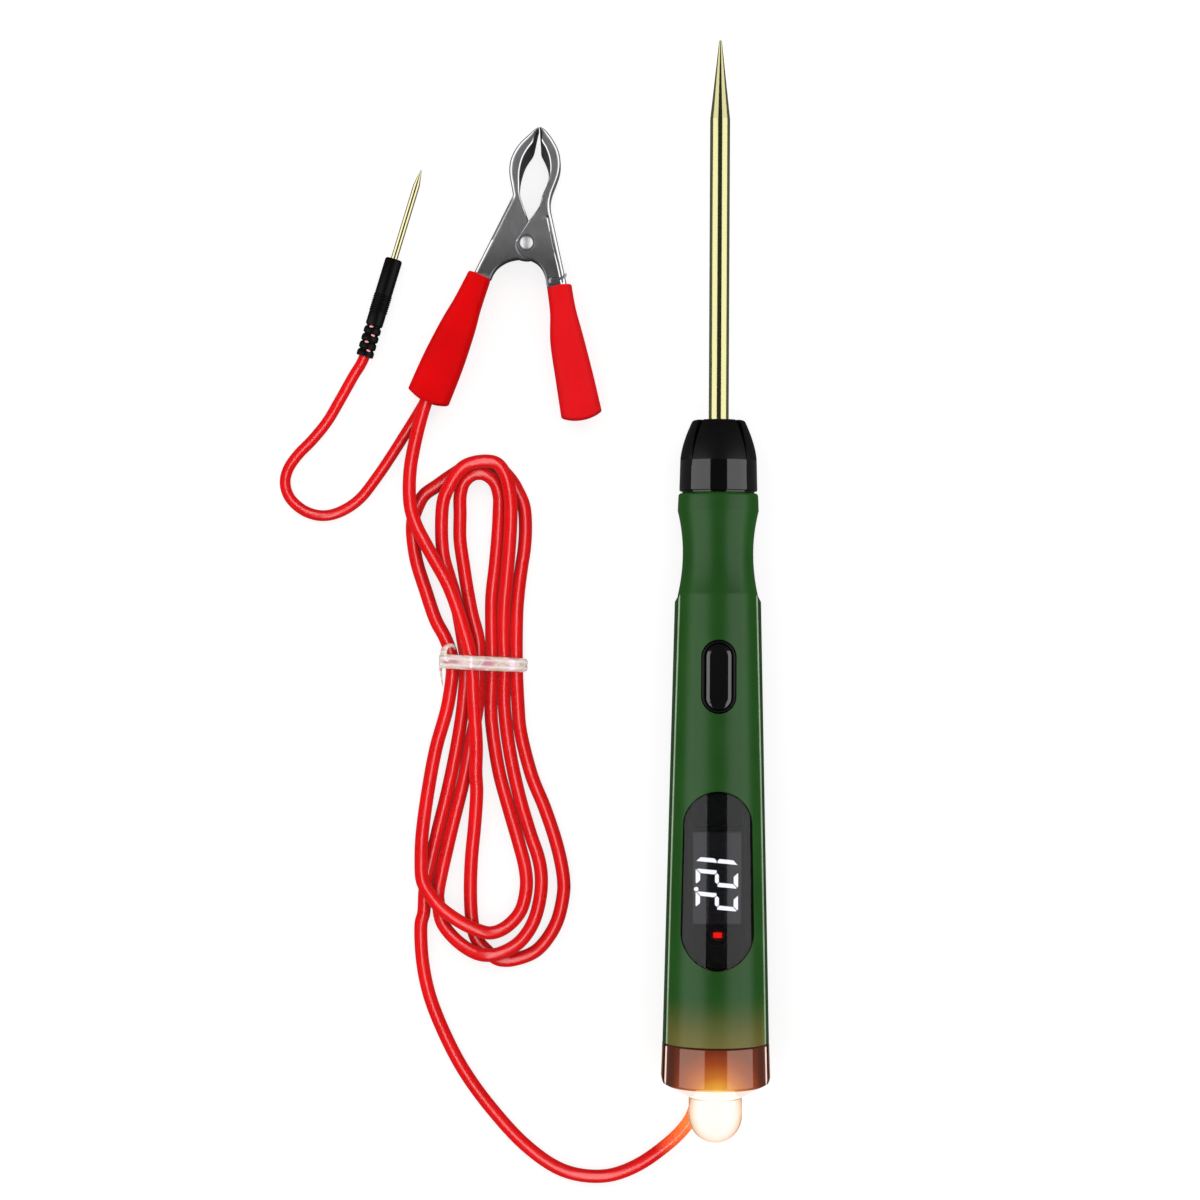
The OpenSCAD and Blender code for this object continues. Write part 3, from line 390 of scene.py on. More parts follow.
def loftRings(rings, loop=False, capped=True):
    # rings with the same count of points; capped closes both ends with one face each
    count = len(rings[0])
    verts = [point for ring in rings for point in ring]
    faces = []
    for i in range(len(rings) if loop else len(rings) - 1):
        j = (i + 1) % len(rings)
        for k in range(count):
            m = (k + 1) % count
            faces.append((i * count + k, i * count + m, j * count + m, j * count + k))
    if capped and not loop:
        faces.append(tuple(range(count - 1, -1, -1)))
        faces.append(tuple((len(rings) - 1) * count + k for k in range(count)))
    return verts, faces


def levelRing(outline, z):
    return [(x, s, z) for x, s in outline]


def prism(outline, z0, z1):
    # outline in x and s, straight up
    return loftRings([levelRing(outline, z0), levelRing(outline, z1)])


def turn(profile, sides=128, closed=True):
    # profile of (radius, station) round the Y axis; a radius of 0 gives one point
    verts, faces, starts = [], [], []
    for radius, s in profile:
        starts.append(len(verts))
        verts += [(x, s, z) for x, z in oval(radius, radius, sides)] if radius > 1e-6 else [(0, s, 0)]
    for i in range(len(profile) if closed else len(profile) - 1):
        j = (i + 1) % len(profile)
        a, b = profile[i][0] > 1e-6, profile[j][0] > 1e-6
        for k in range(sides):
            m = (k + 1) % sides
            if a and b:
                faces.append((starts[i] + k, starts[i] + m, starts[j] + m, starts[j] + k))
            elif a:
                faces.append((starts[i] + k, starts[i] + m, starts[j]))
            elif b:
                faces.append((starts[i], starts[j] + m, starts[j] + k))
    return verts, faces


def shadeByAngle(mesh, angle=32.0):
    mesh.polygons.foreach_set("use_smooth", [True] * len(mesh.polygons))
    mesh.set_sharp_from_angle(angle=math.radians(angle))


def makePiece(name, shape, place, material, sharp=32.0):
    verts, faces = shape
    mesh = bpy.data.meshes.new(name)
    mesh.from_pydata([place @ (Vector(v) * mm) for v in verts], [], faces)
    work = bmesh.new()
    work.from_mesh(mesh)
    bmesh.ops.remove_doubles(work, verts=work.verts, dist=2e-6)
    bmesh.ops.dissolve_degenerate(work, edges=work.edges, dist=1e-7)
    bmesh.ops.recalc_face_normals(work, faces=work.faces)
    work.to_mesh(mesh)
    work.free()
    mesh.materials.append(material)
    shadeByAngle(mesh, sharp)
    piece = bpy.data.objects.new(name, mesh)
    scene.collection.objects.link(piece)
    return piece


def applyModifiers(piece):
    depsgraph = bpy.context.evaluated_depsgraph_get()
    mesh = bpy.data.meshes.new_from_object(piece.evaluated_get(depsgraph))
    piece.modifiers.clear()
    old = piece.data
    piece.data = mesh
    bpy.data.meshes.remove(old)


def carve(piece, cutter, operation="DIFFERENCE"):
    cut = piece.modifiers.new("carve", "BOOLEAN")
    cut.object = cutter
    cut.operation = operation
    cut.solver = "EXACT"
    applyModifiers(piece)
    bpy.data.objects.remove(cutter)
    shadeByAngle(piece.data)


def joinPieces(first, *others):
    work = bmesh.new()
    for piece in (first,) + others:
        work.from_mesh(piece.data)
    work.to_mesh(first.data)
    work.free()
    for piece in others:
        bpy.data.objects.remove(piece)
    shadeByAngle(first.data)
    return first


def setPiece(piece, body, slot, *replaced):
    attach(piece, body)
    if replaced:
        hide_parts(*replaced)


# Geometry Nodes for what repeats or follows a wire
def startTree(name, inputs):
    tree = bpy.data.node_groups.new(name, "GeometryNodeTree")
    for label, kind in inputs.items():
        tree.interface.new_socket(label, in_out="INPUT", socket_type="NodeSocket" + kind)
    tree.interface.new_socket("Geometry", in_out="OUTPUT", socket_type="NodeSocketGeometry")
    return tree, addNode(tree, "NodeGroupInput").node.outputs


def endTree(tree, geometry, material):
    whole = addNode(tree, "GeometryNodeRealizeInstances", {"Geometry": geometry})
    painted = addNode(tree, "GeometryNodeSetMaterial", {"Geometry": whole, "Material": material})
    addNode(tree, "NodeGroupOutput", {"Geometry": painted})


def runTree(name, tree, values, place, mesh):
    # evaluates a tree on its own object and gives back a plain mesh piece in its place
    piece = bpy.data.objects.new(name, mesh)
    scene.collection.objects.link(piece)
    modifier = piece.modifiers.new(name, "NODES")
    modifier.node_group = tree
    for item in tree.interface.items_tree:
        if item.in_out == "INPUT" and item.name in values:
            modifier[item.identifier] = values[item.name]
    applyModifiers(piece)
    piece.data.transform(place @ Matrix.Scale(mm, 4))
    shadeByAngle(piece.data)
    return piece


# a round wire along a line of points
wireTree, given = startTree("wireAlongRoute", {"Geometry": "Geometry", "Radius": "Float", "Sides": "Int",
                                               "Material": "Material"})
line = addNode(wireTree, "GeometryNodeMeshToCurve", {"Mesh": given["Geometry"]})
ring = addNode(wireTree, "GeometryNodeCurvePrimitiveCircle", {"Resolution": given["Sides"],
                                                              "Radius": given["Radius"]})
wire = addNode(wireTree, "GeometryNodeCurveToMesh",
               {"Curve": line, "Profile Curve": ring, "Fill Caps": True})
endTree(wireTree, wire, given["Material"])

# one part repeated in a row, each turned further than the last
rowTree, given = startTree("partsInRow", {"Part": "Object", "Count": "Int", "Start": "Vector",
                                          "Pitch": "Vector", "Turn": "Vector", "Material": "Material"})
row = addNode(rowTree, "GeometryNodeMeshLine", {"Count": given["Count"], "Start Location": given["Start"],
                                                "Offset": given["Pitch"]})
part = addNode(rowTree, "GeometryNodeObjectInfo", {"Object": given["Part"]}, "Geometry")
order = addNode(rowTree, "GeometryNodeInputIndex")
angle = addNode(rowTree, "ShaderNodeVectorMath", {0: given["Turn"], "Scale": order}, operation="SCALE")
placed = addNode(rowTree, "GeometryNodeInstanceOnPoints",
                 {"Points": row, "Instance": part, "Rotation": angle})
endTree(rowTree, placed, given["Material"])


def wirePiece(name, points, radius, place, material, sides=10):
    mesh = bpy.data.meshes.new(name)
    mesh.from_pydata([tuple(p) for p in points], [(i, i + 1) for i in range(len(points) - 1)], [])
    return runTree(name, wireTree, {"Radius": radius, "Sides": sides, "Material": material}, place, mesh)


def rowPiece(name, part, place, material, count, first=0.0, pitch=0.0, turnBy=(0, 0, 0)):
    # the row runs along Y from first
    values = {"Part": part, "Count": count, "Start": (0, first, 0), "Pitch": (0, pitch, 0), "Turn": turnBy,
              "Material": material}
    piece = runTree(name, rowTree, values, place, bpy.data.meshes.new(name))
    bpy.data.objects.remove(part)
    return piece


def looseShape(name, shape):
    # a part in millimetres for a tree or a cutter to use, not yet in its place
    return makePiece(name, shape, Matrix.Scale(1 / mm, 4), greenAbs)


# leads: the routes repeat the points of the CAD source
mainRoute = [
    (-3.3, -95.6, 3.6), (-3.3, -99.5, 3.6), (-3.5, -103.2, 3.6), (-5, -107.2, 3), (-8.8, -111.6, 2),
    (-15.5, -116.5, 1.4), (-22.5, -118.7, 1.4), (-30.5, -117.5, 1.4), (-38, -112.5, 1.4), (-45, -105, 1.4),
    (-50.5, -97.5, 1.4), (-54.5, -90, 1.4), (-57.5, -82.5, 1.4), (-59, -75.5, 1.4), (-59.4, -68.5, 1.4),
    (-58.8, -65.5, 1.4), (-58.6, -61.1, 1.4), (-57.9, -57.2, 1.4), (-57.1, -53.6, 1.4),
    (-55.9, -48.3, 1.5), (-54.2, -41.3, 1.5), (-52.4, -32.4, 1.6), (-51.1, -23.7, 1.5),
    (-50.6, -15.4, 1.5), (-51.2, -10.5, 1.5), (-52.8, -1.9, 1.8), (-54, 2.2, 2), (-55.2, 6.5, 2.3),
    (-55.6, 11.6, 2.7), (-55.3, 17.3, 3.2), (-53.9, 20.8, 3.7), (-52, 23.7, 4), (-49.8, 25.1, 4),
    (-46.7, 25.6, 4), (-44.3, 25, 4), (-42.6, 22.5, 4), (-41.8, 18.9, 3.7), (-41.6, 15.1, 3.3),
    (-41.8, 9.9, 2.9), (-42.3, 3.2, 2.5), (-42.9, -3.5, 2.2), (-43, -10.2, 1.6), (-42.75, -15.3, 1.6),
    (-42.78, -23.6, 1.5), (-41.7, -32.4, 1.8), (-39.8, -41.3, 1.9), (-37.5, -49.1, 2), (-35.8, -54, 2.1),
    (-35.1, -57.9, 2.3), (-35.3, -62.3, 2.6), (-36.6, -67.2, 2.9), (-39.2, -71.1, 3.3),
    (-42.7, -73.3, 3.7), (-45.9, -73.9, 3.9), (-48.9, -73.2, 3.4), (-52.4, -70.8, 2.7),
    (-55.1, -67.4, 2.2), (-55.9, -63.3, 1.7), (-55.9, -61, 1.6), (-55.1, -56.8, 1.6), (-54.3, -53.2, 1.5),
    (-53.1, -47.9, 1.5), (-50.9, -38.8, 1.5), (-49.6, -31.6, 1.5), (-48.16, -23.7, 1.5),
    (-47.9, -15.4, 1.5), (-48.1, -10.3, 1.5), (-49.4, -5.2, 1.8), (-50.4, -0.1, 1.9), (-51.2, 4.9, 2),
    (-51.9, 9.9, 2.1), (-51.9, 14.9, 2.2), (-51.9, 18.6, 2.4), (-51.1, 21.4, 2.6), (-49.2, 23, 2.8),
    (-46.9, 23, 2.8), (-44.9, 21.4, 2.6), (-44, 18.6, 2.4), (-44, 15.6, 2.1), (-44.2, 11.2, 2),
    (-44.7, 5, 1.9), (-45.4, -1.8, 1.8), (-45.4, -8.6, 1.5), (-45.25, -15.3, 1.5), (-45.48, -23.7, 1.5),
    (-45.1, -28.9, 1.8), (-43.8, -36.8, 1.9), (-42, -43.5, 1.9), (-39.8, -50.9, 2.1), (-38.4, -56.2, 2.3),
    (-38.1, -60.5, 2.5), (-39.2, -65, 2.8), (-41.9, -68.1, 3.2), (-44.9, -69.4, 3.6), (-47.6, -68.9, 4),
    (-51.1, -67.3, 4.2), (-55, -64.6, 4.4), (-57.4, -61.8, 4.2), (-59, -58.9, 3.9), (-59.3, -54.6, 3.4),
    (-59.1, -49.3, 3), (-58.1, -41.4, 2.6), (-56.5, -32.4, 2.3), (-54.2, -23.7, 1.6), (-53.25, -15.4, 1.6),
    (-54.6, -10.5, 1.5), (-56.8, -6.3, 1.6), (-58.9, -0.2, 1.5), (-60.6, 5.1, 1.5), (-61.4, 9.8, 1.4),
    (-61.5, 13.2, 1.4), (-60.8, 15.8, 1.4), (-59.3, 18.7, 1.4), (-56.6, 20.7, 1.4), (-54.1, 22.5, 1.4),
    (-51.2, 24.3, 1.4), (-48.3, 25.3, 1.4), (-45.5, 25.1, 1.4), (-43.3, 23.7, 1.4), (-41.6, 21.8, 1.4),
    (-40.5, 20, 1.4), (-39.1, 16.8, 1.4), (-38.7, 12.7, 1.5), (-38.9, 8.2, 1.5), (-39.5, 4, 1.5),
    (-40.1, -1.1, 1.6), (-40.4, -6.2, 1.7), (-40.4, -15.3, 1.5), (-40, -23.6, 1.5), (-39.4, -29.3, 1.6),
    (-37.2, -37.7, 1.6), (-34.5, -44.3, 1.5), (-32.1, -51.4, 1.5), (-30.7, -57.8, 1.5),
    (-30.7, -62.3, 1.4), (-32.2, -68, 1.4), (-35.7, -72.9, 1.4), (-40.1, -74.9, 1.4), (-43.6, -75, 1.4),
    (-46.1, -73.2, 1.4), (-48.2, -70.7, 1.4), (-49.1, -66.8, 1.6), (-49.4, -61, 1.8), (-49.2, -54.5, 2.2),
    (-48.6, -47.8, 2.5), (-48.2, -41.3, 3), (-48.4, -36.9, 3.4), (-48.3, -31.6, 3.8), (-48.8, -23.7, 3.9),
    (-49.3, -15.4, 3.85), (-50, -11.8, 3.9), (-50.7, -9.2, 4), (-51.8, -5.6, 4.3), (-53.1, -1.8, 4.5),
    (-54.6, 1.6, 4.5), (-56.7, 5.3, 4.4), (-58.9, 9.2, 4.3), (-60.7, 12.7, 4.2), (-61.8, 16.3, 4),
    (-62.1, 20.2, 3.7), (-61.9, 24.4, 3.3), (-61.2, 28.5, 3.3), (-60.3, 32.4, 3.9), (-59.1, 36.5, 4.8),
    (-57.6, 40.5, 5.1), (-55.3, 46, 5.1), (-52.8, 51.8, 5.1)]
branchRoute = [
    (-53.3, 51.2, 2.4), (-55.8, 45.2, 2.4), (-58.4, 39, 2.2), (-60.7, 35, 1.6), (-63.2, 31, 1.1),
    (-65.7, 27, 1.1), (-68.7, 22.5, 1.1), (-72.2, 18, 1.1), (-76, 15.4, 1.1), (-79.7, 14.5, 1.1),
    (-83.3, 15.4, 1.1), (-86.2, 17.8, 1.1), (-87.35, 20.8, 1.1), (-86.8, 23.8, 1.1), (-84.8, 26.8, 1.1),
    (-82, 29.7, 1.1), (-79, 33.4, 1.2), (-76.6, 37.4, 1.5), (-73.8, 42.4, 1.85), (-71.4, 46.7, 1.88),
    (-69.02, 54.68, 1.88)]
leads = {"mainRadius": 1.35, "branchRadius": 1.1, "smoothSteps": 6, "roundness": 5}


def layLead(name, route, radius, material):
    path = catmull(route, leads["smoothSteps"])
    curve = bpy.data.curves.new(name, "CURVE")
    curve.dimensions = "3D"
    curve.bevel_depth = radius * mm
    curve.bevel_resolution = leads["roundness"]
    curve.use_fill_caps = True
    spline = curve.splines.new("POLY")
    spline.points.add(len(path) - 1)
    for point, at in zip(spline.points, path):
        point.co = (at.x * mm, at.y * mm, at.z * mm, 1)
    curve.materials.append(material)
    piece = bpy.data.objects.new(name, curve)
    scene.collection.objects.link(piece)
    return piece, sum((b - a).length for a, b in zip(path, path[1:])) * mm


mainLead, mainLength = layLead("mainLead", mainRoute, leads["mainRadius"], leadPvc)
setPiece(mainLead, "tester", "red_pvc", "lead_tail", "lead_hank", "lead_clip")
branchLead, branchLength = layLead("branchLead", branchRoute, leads["branchRadius"], branchPvc)
setPiece(branchLead, "tester", "red_pvc", "branch_lead")
print("leads laid:", round(mainLength, 4), round(branchLength, 4))

# pen body: one cross-section rule for shells and cap; s runs along the pen from the cap's end face
body = {"rear": 10.0, "front": 8.0, "crown": 0.085, "start": 8.2, "shoulder": 96.1, "leadIn": 1.4,
        "waist": 7.05, "crease": 8.1, "creaseAt": 114.3, "endTaper": 0.12, "endDrop": 0.7, "endRound": 0.6,
        "end": 117.8, "wall": 1.8, "neck": 6.2, "throat": 5.2, "throatAt": 98.5, "spigot": 6.05,
        "spigotAt": 109.9, "railProud": 0.55, "railHeight": 4.4, "railRunOut": 0.75, "groove": 0.3,
        "fillet": 0.3, "railEdge": 0.14}
railEnd = body["shoulder"] + body["leadIn"]
roundStart = body["end"] - body["endRound"]


def tubeRadius(s):
    t = (s - body["start"]) / (body["shoulder"] - body["start"])
    return body["rear"] + (body["front"] - body["rear"]) * t + 4 * body["crown"] * t * (1 - t)


def bodyRadius(s):
    middle = (railEnd + body["creaseAt"]) / 2
    if s <= body["shoulder"]:
        return tubeRadius(s)
    if s <= railEnd:
        return body["front"]
    if s <= body["creaseAt"]:
        edge = body["front"] if s < middle else body["crease"]
        return body["waist"] + (edge - body["waist"]) * ((s - middle) / (body["creaseAt"] - middle)) ** 2
    if s <= roundStart:
        return body["crease"] - body["endTaper"] * (s - body["creaseAt"]) / (roundStart - body["creaseAt"])
    t = (s - roundStart) / body["endRound"]
    rounded = (body["endDrop"] - body["endTaper"]) * math.sqrt(max(1 - t * t, 0))
    return body["crease"] - body["endDrop"] + rounded


def innerRadius(s):
    if s <= body["shoulder"]:
        return tubeRadius(s) - body["wall"]
    if s <= body["throatAt"]:
        t = (s - body["shoulder"]) / (body["throatAt"] - body["shoulder"])
        return body["neck"] + (body["throat"] - body["neck"]) * t
    return body["throat"] if s < body["spigotAt"] else body["spigot"]


def railReach(s):
    t = (s - body["start"]) / (body["shoulder"] - body["start"])
    if t <= 1:
        return body["rear"] + (body["front"] - body["rear"]) * t + body["railProud"]
    return body["front"] + body["railProud"] - body["railRunOut"] * (s - body["shoulder"]) / body["leadIn"]


def halfSection(radius, rail, groove=True, steps=44):
    # from the right parting line over the top to the left one
    h = body["railHeight"] / 2
    side = math.sqrt(max(radius ** 2 - h ** 2, 0))
    fillet = min(body["fillet"], 0.45 * max(rail - side, 0))
    edge = min(body["railEdge"], 0.3 * max(rail - side, 0.01))
    g = body["groove"]
    inner = rail - g if groove else rail
    points = [(inner, 0.0), (inner, g / 2), (rail - 0.04, g / 2), (rail, g / 2 + 0.04), (rail, 0.5 * h),
              (rail, h - edge), (rail - 0.3 * edge, h - 0.3 * edge), (rail - edge, h)]
    points = [(max(x, math.sqrt(radius ** 2 - z ** 2)), z) for x, z in points]
    top = math.sqrt(max(radius ** 2 - (h + fillet) ** 2, 0))
    for t in spread(0, 1, 6):
        points.append(((1 - t) ** 2 * (side + fillet) + 2 * t * (1 - t) * side + t * t * top,
                       (1 - t) ** 2 * h + 2 * t * (1 - t) * h + t * t * (h + fillet)))
    for a in spread(math.asin((h + fillet) / radius), math.pi / 2, steps)[1:]:
        points.append((radius * math.cos(a), radius * math.sin(a)))
    return points + [(-x, z) for x, z in reversed(points[:-1])]


stations = spread(body["start"], body["shoulder"], 72) + spread(body["shoulder"], railEnd, 8)
stations += spread(railEnd, body["creaseAt"], 36) + [body["spigotAt"] - 0.01, body["spigotAt"] + 0.01]
stations += [body["creaseAt"] - 0.15, body["creaseAt"] + 0.15, 115.6, roundStart]
stations += [roundStart + body["endRound"] * math.sin(a * math.pi / 12) for a in range(1, 7)]
stations = sorted(set(round(s, 4) for s in stations))


def markCorner(piece, radiusAt, s0, s1, railIndex):
    # the fillet beside each rail gets slot 1, a painted highlight line, and the rail itself the slot given
    height = body["railHeight"] / 2
    for face in piece.data.polygons:
        x, s, z = penBack @ face.center / mm
        if s0 < s < s1 and math.hypot(x, z) > radiusAt(s) - 0.12 and abs(x) > 4:
            if abs(z) <= height + 0.01:
                face.material_index = railIndex
            elif abs(z) < height + 0.34:
                face.material_index = 1


def shellPiece(name, flip):
    # flip is 1 for the half that faces up and -1 for the half below
    rings = []
    for s in stations:
        outer = halfSection(bodyRadius(s), railReach(s) if s < railEnd else 0)
        inside = [(innerRadius(s) * math.cos(a), innerRadius(s) * math.sin(a))
                  for a in spread(0, math.pi, len(outer) - 1)]
        rings.append([(x, s, flip * z) for x, z in outer + inside[::-1]])
    verts, faces = loftRings(rings, capped=False)
    count = len(rings[0])
    for end in (0, (len(rings) - 1) * count):
        faces += [(end + k, end + k + 1, end + count - 2 - k, end + count - 1 - k)
                  for k in range(count // 2 - 1)]
    piece = makePiece(name, (verts, faces), penPlace, greenAbs)
    piece.data.materials.append(highlightLineAbs)
    piece.data.materials.append(shadedRailAbs)
    # painted highlight on the fillets beside the rails, painted shade on the rails
    markCorner(piece, tubeRadius, body["start"], railEnd - 0.05, 2)
    return piece


window = {"rear": 23.3, "front": 58.5, "halfFront": 6.75, "halfRear": 7.17, "power": 1.9, "thick": 1.2,
          "seam": 0.1, "ledge": 0.6, "centre": 41.0,
          "edge": [(0.0, -0.14), (0.02, -0.06), (0.07, -0.01), (0.14, 0.0)]}
button = {"at": 81.2, "width": 5.1, "length": 13.0, "rim": 0.75, "flange": 4.1, "bevel": 0.68, "top": 8.66}
screws = {"at": (66.0, 93.0), "seat": -5.0, "boss": 2.9, "headHole": 2.05, "shankHole": 1.15}


def windowOutline(grow, fine=48):
    # round at the front, a squarer oval at the rear
    front, rear = window["halfFront"] + grow, window["halfRear"] + grow
    frontAt, rearAt = window["front"] - window["halfFront"], window["rear"] + window["halfRear"]
    out = [(front * math.cos(a), frontAt + front * math.sin(a)) for a in spread(0, math.pi, fine)]
    for a in spread(0, math.pi, fine):
        c, power = -math.cos(a), 2 / window["power"]
        out.append((rear * math.copysign(abs(c) ** power, c), rearAt - rear * abs(math.sin(a)) ** power))
    return out


def stadium(width, length, at, fine=32):
    r, straight = width / 2, (length - width) / 2
    out = [(r * math.cos(a), at + straight + r * math.sin(a)) for a in spread(0, math.pi, fine)]
    return out + [(-x, 2 * at - s) for x, s in out]


def surfaceRing(outline, lift):
    # outline laid on the barrel, lifted by a distance
    return [(x, s, math.sqrt(max((tubeRadius(s) + lift) ** 2 - x * x, 0))) for x, s in outline]


frontShell = shellPiece("frontShell", 1)
opening, ledge = windowOutline(window["seam"]), windowOutline(-window["ledge"])
seat = -window["thick"] - 0.05
cutter = loftRings([levelRing(opening, 20), surfaceRing(opening, seat), surfaceRing(ledge, seat),
                    levelRing(ledge, 0.4)])
carve(frontShell, makePiece("windowCutter", cutter, penPlace, greenAbs))
slot = stadium(button["width"] + 2 * button["rim"] + 0.4, button["length"] + 2 * button["rim"] + 0.2,
               button["at"])
carve(frontShell, makePiece("buttonCutter", prism(slot, 0.4, 20), penPlace, greenAbs))
setPiece(frontShell, "tester", "green_shell", "front_shell")

backShell = shellPiece("backShell", -1)
for s in screws["at"]:
    for radius, z0, z1, operation in [(screws["boss"], -bodyRadius(s) + 0.9, 0, "UNION"),
                                      (screws["headHole"], -12, screws["seat"], "DIFFERENCE"),
                                      (screws["shankHole"], -12, 1, "DIFFERENCE")]:
        post = prism(oval(radius, radius, 48, 0, s), z0, z1)
        carve(backShell, makePiece("post", post, penPlace, greenAbs), operation)
setPiece(backShell, "tester", "green_shell", "back_shell")
print("shells made")


# window: flush with the barrel's own curve, its middle filled with rings
def shrunk(outline, f):
    return [(x * f, window["centre"] + (s - window["centre"]) * f) for x, s in outline]


topOutline = windowOutline(-window["edge"][-1][0])
rings = [surfaceRing(shrunk(windowOutline(0), f), -window["thick"])
         for f in (0.02, 0.25, 0.5, 0.75, 0.95, 1)]
rings += [surfaceRing(windowOutline(-inset), lift) for inset, lift in window["edge"]]
rings += [surfaceRing(shrunk(topOutline, f), 0.0)
          for f in (0.94, 0.86, 0.76, 0.64, 0.5, 0.36, 0.22, 0.1, 0.02)]
displayWindow = makePiece("displayWindow", loftRings(rings), penPlace, smokedAcrylic)
normals = []
for vertex in displayWindow.data.vertices:
    x, s, z = penBack @ vertex.co / mm
    onTop = abs(math.hypot(x, z) - tubeRadius(s)) < 0.004
    normals.append(penPlace.to_3x3() @ Vector((x, 0, z)).normalized() if onTop else Vector((0, 0, 0)))
displayWindow.data.normals_split_custom_set_from_vertices(normals)
setPiece(displayWindow, "tester", "smoked_window", "display_window")

# digits: bars with mitred ends and dark gaps between them
digits = {"height": 8.1, "width": 3.2, "bar": 0.82, "gap": 0.16, "corner": 0.42, "lean": 5.5, "z": 5.5,
          "thick": 0.15, "one": 44.8, "twos": (41.3, 36.8), "dot": (-4.05, 39.2), "dotRadius": 0.42,
          "shift": -0.1}


def barOutlines(kind):
    # outlines in (right, up) of the reader, middle of the digit at 0
    a, b, w = digits["width"] / 2, digits["height"] / 2, digits["bar"]
    g, c = digits["gap"] * 0.71, digits["corner"]
    crown = [(-a + g, b), (a - c, b), (a - (c + g) / 2, b - (c - g) / 2), (a - w - g, b - w),
             (-a + w + g, b - w)]
    middle = [(-a + w / 2 + g, 0), (-a + w + g, w / 2), (a - w - g, w / 2), (a - w / 2 - g, 0),
              (a - w - g, -w / 2), (-a + w + g, -w / 2)]
    upright = [(a, b - g), (a, g * 0.8), (a - w / 2, g), (a - w, w / 2 + g), (a - w, b - w - g)]
    if kind == 1:
        return [[(x - a + w / 2, y * flip) for x, y in upright] for flip in (1, -1)]
    upright = [(a, b - c)] + upright[1:] + [(a - (c - g) / 2, b - (c + g) / 2)]
    return [crown, middle, upright, [(-x, -y) for x, y in upright], [(x, -y) for x, y in crown]]


lean = math.tan(math.radians(digits["lean"]))
outlines = [[(up + digits["shift"], at - right - lean * up) for right, up in outline]
            for kind, at in [(1, digits["one"])] + [(2, s) for s in digits["twos"]]
            for outline in barOutlines(kind)]
outlines.append(oval(digits["dotRadius"], digits["dotRadius"], 24, *digits["dot"]))
bars = [makePiece("bar", prism(outline, digits["z"], digits["z"] + digits["thick"]), penPlace, litSegment)
        for outline in outlines]
displayDigits = joinPieces(*bars)
displayDigits.name = "displayDigits"
setPiece(displayDigits, "tester", "lit_segments", "display_digits")

# black collar round the red light, with the light's red haze as a painted glow
collar = prism(oval(2.3, 2.0, 48, 0, 30.3), 7.5, 7.75)
ledHaze = makePiece("ledHaze", collar, penPlace, redHaze)
setPiece(ledHaze, "tester", "red_led")


# button in its rim
def buttonOutline(grow, shorter=0.0):
    return stadium(button["width"] + 2 * grow, button["length"] + 2 * grow - shorter, button["at"])


def buttonRing(inset, lift, rise=0.0):
    # from the barrel's curve (rise 0) to the button's level top (rise 1)
    ring = surfaceRing(buttonOutline(-inset), lift)
    return [(x, s, z + (button["top"] - z) * rise) for x, s, z in ring]


rimSteps = [(0.75, -1.6), (0.75, -0.2), (0.72, -0.14), (0.6, -0.12), (0.4, -0.13), (0.22, -0.2),
            (0.12, -0.4), (0.12, -1.6)]
rings = [surfaceRing(buttonOutline(grow, 0.4 if grow > 0.5 else 0.0), lift) for grow, lift in rimSteps]
buttonRim = makePiece("buttonRim", loftRings(rings, loop=True), penPlace, mouldedAbs)
setPiece(buttonRim, "tester", "black_gloss", "button_bezel")

rings = [levelRing(stadium(0.2, 6.0, button["at"]), button["flange"]),
         levelRing(buttonOutline(0), button["flange"])]
rings += [buttonRing(0, -0.4), buttonRing(0.03, -0.22), buttonRing(0.06, 0, 0.4), buttonRing(0.12, 0, 0.5)]
rings += [buttonRing(button["bevel"], 0, 0.96), buttonRing(button["bevel"] + 0.08, 0, 1)]
rings += [buttonRing(inset, 0, 1) for inset in (1.3, 1.9, 2.45)]
buttonCap = makePiece("buttonCap", loftRings(rings), penPlace, buttonAbs, 18)
setPiece(buttonCap, "button", "black_matte", "power_button")
print("window and button made")

# nose collar with four grooves cut round it; profiles are (radius, station)
nose = {"spigot": [(3.05, 109.92), (6.0, 109.92), (6.0, 117.9), (7.2, 117.9), (7.2, 118.2), (7.5, 118.2),
                   (7.64, 118.24), (7.75, 118.33), (7.8, 118.5)],
        "radius": 7.8, "draft": 0.15, "curveAt": 124.3, "face": 132.4, "tip": 5.35, "mouth": 2.05,
        "bore": 3.05, "grooveWidth": 1.3, "grooveFloor": 4.2, "grooves": 4}
bandStart, curveAt, noseFace = nose["spigot"][-1][1], nose["curveAt"], nose["face"]
bandEnd, curveLength = nose["radius"] - nose["draft"], noseFace - curveAt - 0.3
profile = nose["spigot"] + [(nose["radius"] - nose["draft"] * t, bandStart + (curveAt - bandStart) * t)
                            for t in (0.25, 0.5, 0.75, 0.97, 1.0)]
profile += [(bandEnd - (bandEnd - nose["tip"]) * t ** 1.6, curveAt + curveLength * t)
            for t in spread(0, 1, 24)[1:]]
profile += [(5.2, noseFace - 0.12), (4.95, noseFace), (nose["mouth"], noseFace),
            (nose["mouth"], noseFace - 1.2), (nose["bore"], noseFace - 1.2)]
noseCollar = makePiece("noseCollar", turn(profile, 160), penPlace, glossAbs)
half = nose["grooveWidth"] / 2
wedge = [(0, curveAt - 1), (-half, noseFace + 0.1), (half, noseFace + 0.1)]
carve(noseCollar, rowPiece("grooveCutter", looseShape("groove", prism(wedge, nose["grooveFloor"], 12)),
                           penPlace @ Matrix.Rotation(math.pi / 4, 4, "Y"), glossAbs, nose["grooves"],
                           turnBy=(0, math.pi / 2, 0)))
noseCollar.data.materials.append(mouldedAbs)
